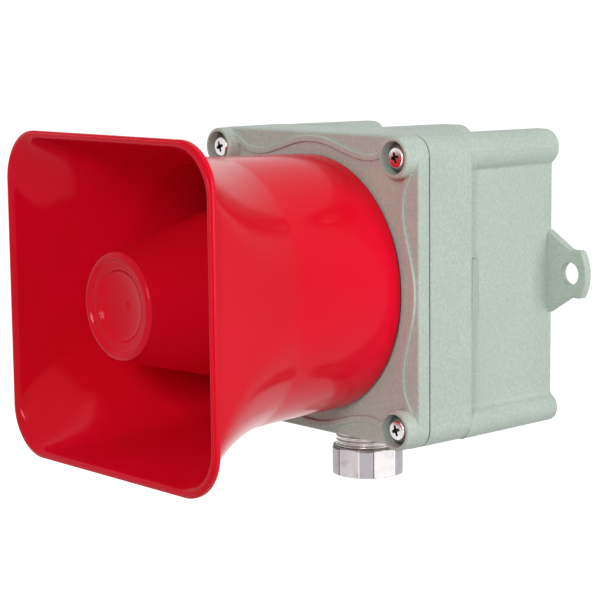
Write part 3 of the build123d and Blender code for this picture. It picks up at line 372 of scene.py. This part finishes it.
def rounded(profile, radius, steps=5):
    """The outline with each corner replaced by a short quadratic curve, pulled by the corner, that
    starts and ends up to radius away from it and never past 0.45 of a side."""
    profile = np.asarray(profile, float)
    before, after = np.roll(profile, 1, 0) - profile, np.roll(profile, -1, 0) - profile
    near = np.linalg.norm(before, axis=1, keepdims=True)
    far = np.linalg.norm(after, axis=1, keepdims=True)
    reach = np.minimum(radius, np.minimum(near, far) * 0.45)
    start, end = profile + before / near * reach, profile + after / far * reach
    t = np.linspace(0, 1, steps)[None, :, None]
    curve = (1 - t) ** 2 * start[:, None] + 2 * t * (1 - t) * profile[:, None] + t**2 * end[:, None]
    return curve.reshape(-1, 2)


cone_low, cone_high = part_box("reflector_cone")
cap_low, cap_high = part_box("reflector_cap")
cone_back, cone_front, cone_wide = -cone_high.y, -cone_low.y, cone_high.x
cap_half, cap_front = cap_high.x, -cap_low.y
cone_wall, cone_edge = 2.2 * MM, 0.7 * MM
cone_outline = [
    (cone_wide - cone_wall, cone_back),
    (cone_wide, cone_back),
    (cap_half, cone_front),
    (cap_half - cone_wall, cone_front),
]
cone_points, cone_faces = turned(rounded(cone_outline, cone_edge), steps=200)
make_piece(
    "reflector", cone_points, cone_faces, red,
    "cover", ["reflector_cone"], angle=50.0,
)

# The cap: a broad rounded shoulder up to a crest, a ledge inside it, and a deep bowl with the
# gate's nub in its middle. The back runs about 2 mm behind the bowl, and further behind the ledge.
# Pairs are the radius and the drop below the crest, in millimetres.
cap_front_pairs = [
    (25.8, 2.6), (25.7, 1.8), (25.2, 1.0), (24.4, 0.42), (23.5, 0.1), (22.8, 0.0), (22.3, 0.12),
    (21.8, 0.5), (21.4, 1.05), (20.9, 1.5), (20.2, 1.72), (19.2, 1.8), (18.2, 1.85), (17.5, 2.0),
    (17.0, 2.4), (16.6, 2.95), (16.2, 3.5), (15.6, 4.0), (14.6, 4.45), (13.2, 4.9), (11.4, 5.3),
    (9.2, 5.7), (6.8, 6.0), (4.2, 6.2), (2.0, 6.3), (1.6, 6.2), (1.35, 5.7), (0.9, 5.4),
]
nub_drop = 5.35 * MM
cap_back_pairs = [(0.0, 8.4), (6.0, 8.1), (12.0, 7.1), (18.0, 5.6), (23.3, 5.2), (23.3, 2.6)]
cap_pairs = cap_back_pairs + cap_front_pairs
cap_line = [(radius * MM, cap_front - drop * MM) for radius, drop in cap_pairs]
cap_line.append((0.0, cap_front - nub_drop))
cap_points, cap_faces = turned(cap_line, steps=240, poles=True)
make_piece(
    "reflector_front", cap_points, cap_faces, red,
    "cover", ["reflector_cap"], angle=46.0,
)
for node in ("reflector_spider", "throat_tube"):
    keep_node(node, red)


# ------------------------------------------------------------------ cover screws and washers
# Four M6 pan-head screws in bright plated steel with a cross recess, each on a dark sealing washer
# at the bottom of its counterbore.
def bright_plating():
    """Bright zinc plate: a mirror finish with fine turning marks, a little haze, and painted shade,
    near black, in the cross recess."""
    plate = Finish("bright_plating", Metallic=1.0)
    marks = plate.noise(0.5, 4.0)
    haze = plate.noise(3.0, 3.0)
    recess = plate.add("ShaderNodeAttribute", {"attribute_name": "recess"}, {}, "Fac")
    tone = haze.step(0.3, 0.7).mix(srgb(232, 229, 228), srgb(208, 205, 205))
    # The cross recess is painted near black: painted shade.
    plate.feed(
        Base_Color=(recess.step(0.2, 0.8) * 0.93).mix(tone, srgb(30, 24, 24)),
        Roughness=0.10 + marks * 0.10 + haze * 0.08,
    )
    plate.bump(marks, 0.012, 0.4)
    return plate.material


def dark_washer():
    """Dark grey-green sealing washer with a faint grain."""
    washer = Finish("dark_washer", IOR=1.5)
    grain = washer.noise(0.5, 3.0)
    washer.feed(
        Base_Color=grain.mix(srgb(58, 66, 61), srgb(78, 86, 80)),
        Roughness=0.42 + grain * 0.2,
    )
    washer.bump(grain, 0.03, 0.5)
    return washer.material


screw_low, screw_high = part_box("cover_screws")
washer_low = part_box("screw_washers")[0]
head_radius, shank_radius = 5.8 * MM, 3.0 * MM
screw_centre = screw_high.x - head_radius
head_seat, head_top, screw_tip = -washer_low.y, -screw_low.y, -screw_high.y
head_height = head_top - head_seat
crown_share, edge_share, edge_fall, edge_power = 0.16, 0.70, 0.62, 2.4
tip_taper, tip_round, head_undercut, head_lift = 0.75, 0.8 * MM, 0.96, 0.3 * MM
recess_drop, arm_half_width, arm_taper, arm_flank = 2.0 * MM, 1.0 * MM, 0.14, 0.14 * MM
arm_reach, arm_ramp = 2.75 * MM, 0.5 * MM
head_rings, head_steps = 80, 240


def cross_recess(x, z):
    """1 in a cross of two tapering slots, 0 outside, with steep sides and sloping ends."""
    def slot(along, across):
        width = arm_half_width - arm_taper * np.abs(along)
        sides = np.clip((width - np.abs(across)) / arm_flank, 0, 1)
        return sides * np.clip((arm_reach - np.abs(along)) / arm_ramp, 0, 1)

    return np.maximum(slot(x, z), slot(z, x))


def screw_mesh(centre, turn):
    """A pan head and its shank on a polar grid: the height is a shallow crown that falls off near
    the edge with a power of the radius, less the cross recess; below the edge the rings run in to
    the shank and its tip. Gives points, faces and how deep in the recess each point is, 0 to 1."""
    share = np.linspace(1, 1 / head_rings, head_rings)[:, None]
    angles = np.linspace(0, 2 * np.pi, head_steps, endpoint=False)[None, :]
    radius = head_radius * share
    x, z = radius * np.cos(angles), radius * np.sin(angles)
    along, across = x * math.cos(turn) + z * math.sin(turn), z * math.cos(turn) - x * math.sin(turn)
    recess = cross_recess(along, across)
    edge = 1 - edge_fall * np.maximum(0, (share - edge_share) / (1 - edge_share)) ** edge_power
    crown = (1 - crown_share) + crown_share * (1 - share**2)
    top = head_seat + head_height * crown * edge - recess * recess_drop
    below = np.array([
        (shank_radius * tip_taper, screw_tip),
        (shank_radius, screw_tip + tip_round),
        (shank_radius, head_seat),
        (head_radius * head_undercut, head_seat),
        (head_radius, head_seat + head_lift),
    ])
    round_x, round_z = below[:, :1] * np.cos(angles), below[:, :1] * np.sin(angles)
    low = np.stack([centre[0] + round_x, -below[:, 1:] + 0 * angles, centre[1] + round_z], -1)
    high = np.stack([centre[0] + x, -top, centre[1] + z], -1)
    middle = -(head_top - recess_drop)
    poles = (centre[0], -screw_tip, centre[1]), (centre[0], middle, centre[1])
    points, faces = closed_grid(np.concatenate([low, high]), *poles)
    depths = np.concatenate([np.zeros(low.shape[:2]), recess]).ravel()
    return points, faces, np.concatenate([depths, [0.0, 1.0]])


def merged(parts):
    """Several (points, faces) sets as one."""
    starts = np.cumsum([0] + [len(points) for points, _ in parts])
    faces = []
    for start, (_, own) in zip(starts, parts):
        faces += [[index + start for index in face] for face in own]
    return np.concatenate([points for points, _ in parts]), faces


corners = [(sx * screw_centre, sz * screw_centre) for sx in (-1, 1) for sz in (-1, 1)]
screw_turns = (0.5, 0.3, 0.35, 0.25)
screws = [screw_mesh(corner, turn) for corner, turn in zip(corners, screw_turns)]
screw_points, screw_faces = merged([screw[:2] for screw in screws])
plating = bright_plating()
heads = make_piece(
    "screw_heads", screw_points, screw_faces, plating,
    "cover", ["cover_screws"], angle=38.0,
)
in_recess = heads.data.attributes.new("recess", "FLOAT", "POINT")
recess_depths = np.concatenate([screw[2] for screw in screws])
in_recess.data.foreach_set("value", recess_depths.astype(np.float32))
keep_node("screw_washers", dark_washer())


# ------------------------------------------------------------------ cable gland
# The barrel is a turned steel thread that screws through the case. The cap nut below it is a
# sand-cast zinc hexagon with its corners turned down to a round, which tore a groove along one
# edge of each corner. Its colour carries painted light: the turned strips are painted darker as
# painted shade, the groove dark red as painted shade and a painted reflection of the red horn,
# and the other edge of each strip near white as a painted highlight.
def turned_steel():
    """Dull turned steel: darker random patches of grime, with rings of fine tool marks."""
    steel = Finish("turned_steel", Metallic=1.0)
    marks = steel.noise(0.9, 4.0, steel.stretched((0.15, 0.15, 3.0)))
    grime_and_groove_shade = steel.noise(4.0, 4.0).step(0.4, 0.75)
    steel.feed(
        Base_Color=(grime_and_groove_shade * 0.4).mix(srgb(220, 213, 211), srgb(120, 108, 106)),
        Roughness=0.22 + marks * 0.12 + grime_and_groove_shade * 0.12,
    )
    steel.bump(marks, 0.02, 0.4)
    return steel.material


def cast_zinc():
    """Pale cast zinc: a soft grain, small pits and a few darker stains."""
    zinc = Finish("cast_zinc", Metallic=0.85)
    grain = zinc.noise(0.8, 4.0)
    pits = 1 - zinc.cells(2.1).step(0.03, 0.14)
    stain = zinc.noise(6.0, 4.0).step(0.45, 0.8)
    turned_and_shaded = zinc.add("ShaderNodeAttribute", {"attribute_name": "turned"}, {}, "Fac")
    grime_and_groove_shade = zinc.add("ShaderNodeAttribute", {"attribute_name": "groove"}, {}, "Fac")
    painted_edge_highlight = zinc.add("ShaderNodeAttribute", {"attribute_name": "painted_edge_highlight"}, {}, "Fac")
    tone = (stain * 0.6).mix(srgb(214, 209, 210), srgb(158, 152, 156))
    tone = (pits * 0.5).mix(tone, srgb(118, 112, 116))
    # The turned corner strips are painted darker: painted shade. They are also made smoother.
    tone = (turned_and_shaded * 0.7).mix(tone, srgb(150, 146, 154))
    # The groove is painted dark red: painted shade and a painted reflection of the red horn.
    tone = (grime_and_groove_shade * 0.9).mix(tone, srgb(90, 22, 34))
    # The other edge of each strip is painted near white: a painted highlight.
    tone = (painted_edge_highlight * 0.9).mix(tone, srgb(250, 248, 248))
    zinc.feed(Base_Color=tone, Roughness=0.42 + grain * 0.22 - turned_and_shaded * 0.18)
    zinc.bump(grain * 0.6 + (1 - pits) * 0.4, 0.12, 0.8)
    return zinc.material


gland_low, gland_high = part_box("gland_body")
nut_low, nut_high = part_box("gland_cap_nut")
gland_y = (gland_low.y + gland_high.y) / 2
thread_radius, thread_pitch, thread_depth = gland_high.x, 2.309 * MM, 0.8 * MM
bore_radius, neck_radius, neck_wall = 11 * MM, 14 * MM, 1.5 * MM
crest_round, thread_rows = 0.12, 260  # the first rounds the crests and roots of the thread


def standing(rows, radius_of, steps):
    """Rows of (height, base radius) turned about the gland's upright axis; radius_of gives the
    radius for arrays of base, height and angle. The rows run down the outside, so each face's
    corners are taken the other way round to point outwards."""
    angles = np.linspace(0, 2 * np.pi, steps, endpoint=False)[None, :]
    heights = np.asarray([row[0] for row in rows])[:, None] + 0 * angles
    radius = radius_of(np.asarray([row[1] for row in rows])[:, None], heights, angles)
    points = np.stack([radius * np.cos(angles), gland_y + radius * np.sin(angles), heights], -1)
    faces = np.asarray(ring_faces(len(rows), steps))[:, ::-1]
    return points.reshape(-1, 3), faces.tolist()


def thread_radius_at(base, height, angle):
    """A screw thread: the radius follows a triangle wave that climbs one pitch a turn, rounded at
    crest and root, and only where the base radius is the thread's own."""
    phase = (height / thread_pitch - angle / (2 * np.pi)) % 1.0
    wave = np.abs(phase * 2 - 1)
    rounded_wave = wave - crest_round * np.sin(2 * np.pi * wave)
    return base - np.where(base >= thread_radius, thread_depth * rounded_wave, 0)


shoulder, socket_floor = nut_high.z, gland_low.z + 8 * MM
mouth_chamfer, end_inset, foot_inset = 0.8 * MM, 0.9 * MM, 1.0 * MM
thread_top, thread_foot = gland_high.z - 0.5 * MM, shoulder + 0.3 * MM
barrel_rows = [
    (gland_high.z - mouth_chamfer, bore_radius),
    (gland_high.z, bore_radius + mouth_chamfer),
    (gland_high.z, thread_radius - end_inset),
]
barrel_rows += [(z, thread_radius) for z in np.linspace(thread_top, thread_foot, thread_rows)]
barrel_rows += [(shoulder, thread_radius - foot_inset), (shoulder, neck_radius)]
barrel_rows += [(gland_low.z, neck_radius), (gland_low.z, neck_radius - neck_wall)]
barrel_rows += [(socket_floor, neck_radius - neck_wall), (socket_floor, bore_radius)]
barrel_points, barrel_faces = standing(barrel_rows, thread_radius_at, steps=144)
steel = turned_steel()
make_piece(
    "gland_barrel", barrel_points, barrel_faces, steel,
    "case", ["gland_body"], angle=60.0,
)

nut_half_flats, nut_corner_radius, nut_corner_angle = 18 * MM, 19 * MM, math.radians(14)
groove_depth, groove_angle = 0.35 * MM, math.acos(nut_half_flats / nut_corner_radius)
groove_width, corner_blend, chamfer_slope = math.radians(0.9), 0.12 * MM, 1.9
top_chamfer, bottom_chamfer = 0.1 * MM, 0.3 * MM


def corner_edge(angle, side):
    """1 along one edge of each turned corner strip, 0 away from it: a bell curve of the angle from
    the edge. Side -1 is the groove that the tool tore, side 1 the edge that carries a painted
    highlight."""
    sector = (angle - nut_corner_angle) % (np.pi / 3) - np.pi / 6
    return np.exp(-(((sector - side * groove_angle) / groove_width) ** 2))


def nut_radius_at(base, height, angle):
    """The nut's outside: the nearer of a hexagon's flat and the turned corner radius, blended with
    a square root, cut by chamfer cones at top and bottom; a base below the flats is a bore."""
    sector = (angle - nut_corner_angle) % (np.pi / 3) - np.pi / 6
    flat = nut_half_flats / np.cos(sector)
    apart = flat - nut_corner_radius
    sides = (flat + nut_corner_radius - np.sqrt(apart**2 + corner_blend**2)) / 2
    top = nut_half_flats - top_chamfer + (nut_high.z - height) * chamfer_slope
    bottom = nut_half_flats - bottom_chamfer + (height - nut_low.z) * chamfer_slope
    outside = np.minimum(sides - groove_depth * corner_edge(angle, -1), np.minimum(top, bottom))
    return np.where(base >= nut_half_flats, outside, base)


lip, nut_bore = nut_low.z + 2 * MM, neck_radius + 0.1 * MM
nut_mouth, lip_width, lip_height, side_rows = 0.8 * MM, 0.7 * MM, 0.6 * MM, 60
nut_rows = [(lip, nut_bore), (nut_high.z - nut_mouth, nut_bore), (nut_high.z, nut_bore + nut_mouth)]
nut_rows += [(z, nut_corner_radius) for z in np.linspace(nut_high.z, nut_low.z, side_rows)]
nut_rows += [(nut_low.z, bore_radius + lip_width), (nut_low.z + lip_height, bore_radius)]
nut_rows += [(lip, bore_radius)]
nut_points, nut_faces = standing(nut_rows, nut_radius_at, steps=720)
zinc = cast_zinc()
nut = make_piece(
    "cap_nut", nut_points, nut_faces, zinc,
    "cap_nut", ["gland_cap_nut"], angle=28.0,
)
# Marks for the finish: the turned corner strips, the groove at one edge of each, and the
# painted highlight at the other edge.
turn = np.arctan2(nut_points[:, 1] - gland_y, nut_points[:, 0])
wide = np.hypot(nut_points[:, 1] - gland_y, nut_points[:, 0]) > nut_half_flats - 1 * MM
corner_side = np.abs((turn - nut_corner_angle) % (np.pi / 3) - np.pi / 6) > groove_angle
edges = [("groove", corner_edge(turn, -1) * wide), ("painted_edge_highlight", corner_edge(turn, 1) * wide)]
for name, values in [("turned", wide & corner_side)] + edges:
    marks = nut.data.attributes.new(name, "FLOAT", "POINT")
    marks.data.foreach_set("value", values.astype(np.float32))
keep_node("gland_lock_nut", zinc)
keep_node("gland_slip_ring", steel)


# ------------------------------------------------------------------ driver
# The compression driver behind the cover: pressed steel can and plate, ferrite magnet between
# soft-iron plates, phenolic dome on its coil, and two leads to a plug.
def plated_steel():
    """Zinc-plated pressed steel: patchy yellow-grey passivation and fine scratches."""
    sheet = Finish("plated_steel", Metallic=1.0)
    patch = sheet.noise(14.0, 4.0)
    lines = sheet.noise(0.7, 4.0, sheet.stretched((0.2, 1.0, 1.0)))
    sheet.feed(
        Base_Color=patch.step(0.3, 0.7).mix(srgb(196, 194, 184), srgb(176, 172, 158)),
        Roughness=0.30 + lines * 0.2,
    )
    sheet.bump(lines, 0.015, 0.4)
    return sheet.material


def moulded(name, colour, darker, roughness=0.42):
    """Plain moulded plastic: slight mottling, a spark-eroded grain."""
    plastic = Finish(name, IOR=1.5)
    grain = plastic.noise(0.35, 3.0)
    mottle = plastic.noise(8.0, 3.0)
    tone = mottle.step(0.3, 0.7).mix(colour, darker)
    plastic.feed(Base_Color=tone, Roughness=roughness + grain * 0.15)
    plastic.bump(grain, 0.02, 0.5)
    return plastic.material


def soft_iron():
    """Dark passivated iron with faint lamination lines across it."""
    iron = Finish("soft_iron", Metallic=1.0)
    lines = iron.noise(0.5, 2.0, iron.stretched((0.05, 0.05, 1.0)))
    iron.feed(
        Base_Color=lines.mix(srgb(104, 104, 108), srgb(140, 140, 143)),
        Roughness=0.34 + lines * 0.2,
    )
    iron.bump(lines, 0.03, 0.5)
    return iron.material


def plain_brass():
    """Machined brass with light tarnish."""
    brass = Finish("plain_brass", Metallic=1.0)
    tarnish = brass.noise(3.0, 4.0)
    brass.feed(
        Base_Color=tarnish.step(0.35, 0.7).mix(srgb(214, 178, 98), srgb(170, 130, 66)),
        Roughness=0.22 + tarnish * 0.25,
    )
    return brass.material


def enamelled_copper():
    """Copper winding: fine turns of enamelled wire as ridges round the depth direction."""
    copper = Finish("enamelled_copper", Metallic=0.7, Coat_Weight=0.6)
    sockets = {"Vector": copper.place, "Scale": 1 / (2.2 * MM), "Distortion": 0.4}
    settings = {"wave_type": "BANDS", "bands_direction": "Y"}
    turns = copper.add("ShaderNodeTexWave", settings, sockets)
    tone = turns.mix(srgb(120, 54, 22), srgb(196, 104, 52))
    copper.feed(Base_Color=tone, Roughness=0.3 + turns * 0.1)
    copper.bump(turns, 0.15, 0.8)
    return copper.material


sheet_steel, iron, brass = plated_steel(), soft_iron(), plain_brass()
copper = enamelled_copper()
black_plastic = moulded("black_plastic", srgb(30, 30, 31), srgb(42, 42, 43))
amber_film = moulded("amber_film", srgb(176, 130, 62), srgb(150, 106, 48), 0.3)
white_plastic = moulded("white_plastic", srgb(232, 231, 224), srgb(218, 216, 207), 0.35)
for node in ("driver_plate", "driver_can", "driver_screws", "horn_screws"):
    keep_node(node, sheet_steel)
for node in ("pole_plate", "back_plate", "pole_piece"):
    keep_node(node, iron)
for node in ("phase_plug", "clamp_ring", "magnet", "driver_leads"):
    keep_node(node, black_plastic)
for node in ("diaphragm", "surround"):
    keep_node(node, amber_film)
keep_node("voice_coil", copper)
keep_node("driver_tabs", brass)
keep_node("lead_plug", white_plastic)


# ------------------------------------------------------------------ circuit board
# The board stands on four brass pillars inside the case and carries the transformer, capacitors,
# amplifier on its heat sink, terminals, fuse, lead socket, tone switch and volume control.
def solder_mask():
    """Green solder mask: paler copper tracks under it, along the edges of scattered cells."""
    mask = Finish("solder_mask", IOR=1.5, Coat_Weight=0.5)
    sockets = {"Vector": mask.place, "Scale": 1 / (7.5 * MM), "Randomness": 0.9}
    to_edge = mask.add("ShaderNodeTexVoronoi", {"feature": "DISTANCE_TO_EDGE"}, sockets, "Distance")
    tracks = 1 - to_edge.step(0.07, 0.11)
    cloth = mask.noise(0.6, 2.0)
    mask.feed(
        Base_Color=(tracks * 0.8).mix(srgb(18, 84, 44), srgb(42, 122, 66)),
        Roughness=0.26 + cloth * 0.12,
    )
    mask.bump(tracks * 0.8 + cloth * 0.2, 0.04, 0.6)
    return mask.material


keep_node("circuit_board", solder_mask())
keep_node("transformer_core", iron)
keep_node("transformer_winding", copper)
sleeve = moulded("capacitor_sleeve", srgb(24, 30, 52), srgb(34, 40, 66), 0.25)
keep_node("filter_capacitors", sleeve)
keep_node("heat_sink", moulded("black_anodise", srgb(26, 26, 28), srgb(38, 38, 40), 0.5))
keep_node("terminal_block", moulded("green_nylon", srgb(36, 116, 72), srgb(30, 100, 62)))
switch_plastic = moulded("blue_nylon", srgb(28, 74, 150), srgb(24, 62, 130))
for node in ("amplifier_chip", "lead_socket", "fuse_holder"):
    keep_node(node, black_plastic)
for node in ("tone_switch", "volume_control"):
    keep_node(node, switch_plastic)
for node in ["volume_knob"] + [f"tone_slider_{number}" for number in range(1, 6)]:
    keep_node(node, white_plastic)
for node in ("board_screws", "terminal_screws", "earth_screw"):
    keep_node(node, sheet_steel)
for node in ("board_standoffs", "earth_clamp"):
    keep_node(node, brass)


def fuse_glass():
    """Clear glass tube over its wire, with plated end caps marked by the length along X."""
    glass = Finish("fuse_glass", IOR=1.5, Roughness=0.06)
    split = glass.add("ShaderNodeSeparateXYZ", {}, {"Vector": glass.place}, out="X")
    low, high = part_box("fuse")
    cap_length, seam = 5 * MM, 0.1 * MM
    past_first = (split - (low.x + cap_length)).step(0.0, seam)
    before_second = ((high.x - cap_length) - split).step(0.0, seam)
    inner = past_first * before_second
    glass.feed(Base_Color=inner.mix(srgb(200, 200, 196), srgb(210, 222, 220)), Metallic=1 - inner)
    return glass.material


keep_node("fuse", fuse_glass())


# ------------------------------------------------------------------ floor, light and camera
# A plain white floor below the horn and a white surround: both show white to the camera and to
# polished metal, and light the horn only softly. Two large soft lamps, right and overhead, give
# it its shape, and a small one in front gives the sharp highlights.
def seen_white(tree):
    """1 for rays from the camera and for mirror and glass rays, 0 for the light that falls on
    the horn, in the given node tree."""
    path = tree.nodes.new("ShaderNodeLightPath")
    total = path.outputs["Is Camera Ray"]
    for other in ("Is Glossy Ray", "Is Transmission Ray"):
        larger = tree.nodes.new("ShaderNodeMath")
        larger.operation = "MAXIMUM"
        tree.links.new(total, larger.inputs[0])
        tree.links.new(path.outputs[other], larger.inputs[1])
        total = larger.outputs[0]
    return total


def level_of(tree, low):
    """A strength of 1 where white is seen, and of low where it only lights the horn."""
    level = tree.nodes.new("ShaderNodeMapRange")
    level.inputs["To Min"].default_value = low
    tree.links.new(seen_white(tree), level.inputs["Value"])
    return level.outputs["Result"]


ground_glow, ground_grey, world_glow = 0.1, 0.35, 0.26
ground = bpy.data.materials.new("white_ground")
ground.use_nodes = True
ground_nodes, ground_links = ground.node_tree.nodes, ground.node_tree.links
ground_nodes.remove(ground_nodes["Principled BSDF"])
glow, matt = ground_nodes.new("ShaderNodeEmission"), ground_nodes.new("ShaderNodeBsdfDiffuse")
both = ground_nodes.new("ShaderNodeAddShader")
matt.inputs["Color"].default_value = (ground_grey, ground_grey, ground_grey, 1)
ground_links.new(level_of(ground.node_tree, ground_glow), glow.inputs["Strength"])
ground_links.new(glow.outputs[0], both.inputs[0])
ground_links.new(matt.outputs[0], both.inputs[1])
ground_links.new(both.outputs[0], ground_nodes["Material Output"].inputs["Surface"])

floor_mesh = bpy.data.meshes.new("floor")
floor_drop, floor_reach = 0.12, 6.0
floor_height, floor_signs = cad_box[0][2] - floor_drop, ((-1, -1), (1, -1), (1, 1), (-1, 1))
floor_corners = [(sx * floor_reach, sy * floor_reach, floor_height) for sx, sy in floor_signs]
floor_mesh.from_pydata(floor_corners, [], [(0, 1, 2, 3)])
floor_mesh.materials.append(ground)
floor = bpy.data.objects.new("floor", floor_mesh)
bpy.context.scene.collection.objects.link(floor)

world = bpy.data.worlds.new("studio")
bpy.context.scene.world = world
world.use_nodes = True
backdrop = world.node_tree.nodes["Background"]
backdrop.inputs["Color"].default_value = (1, 1, 1, 1)
world.node_tree.links.new(level_of(world.node_tree, world_glow), backdrop.inputs["Strength"])
light_aim = Vector((0.0, -0.11, 0.0))


def soft_light(name, place, width, height, power):
    """A rectangular lamp at a place, turned to face the middle of the horn."""
    lamp = bpy.data.lights.new(name, "AREA")
    lamp.shape, lamp.size, lamp.size_y, lamp.energy = "RECTANGLE", width, height, power
    light = bpy.data.objects.new(name, lamp)
    light.location = place
    light.rotation_euler = (light_aim - Vector(place)).to_track_quat("-Z", "Y").to_euler()
    bpy.context.scene.collection.objects.link(light)


soft_light("right", (1.45, 0.25, 0.12), 0.9, 1.3, 14.6)
soft_light("overhead", (-0.1, -0.1, 1.5), 1.2, 1.2, 4.6)
soft_light("front_right", (0.85, -1.45, 0.55), 0.25, 0.4, 9.5)

camera_data = bpy.data.cameras.new("camera")
camera_data.sensor_width = 36.0
camera_data.lens = 118.0
camera = bpy.data.objects.new("camera", camera_data)
camera.location = (0.7274, -0.7450, 0.1294)
azimuth, elevation, roll = math.radians(48.84), math.radians(8.11), math.radians(-0.64)
level = math.cos(elevation)
look = Vector((-math.sin(azimuth) * level, math.cos(azimuth) * level, -math.sin(elevation)))
camera.rotation_euler = look.to_track_quat("-Z", "Y").to_euler()
camera.rotation_euler.rotate_axis("Z", roll)
bpy.context.scene.collection.objects.link(camera)
bpy.context.scene.camera = camera
bpy.context.scene.view_settings.view_transform = "Standard"
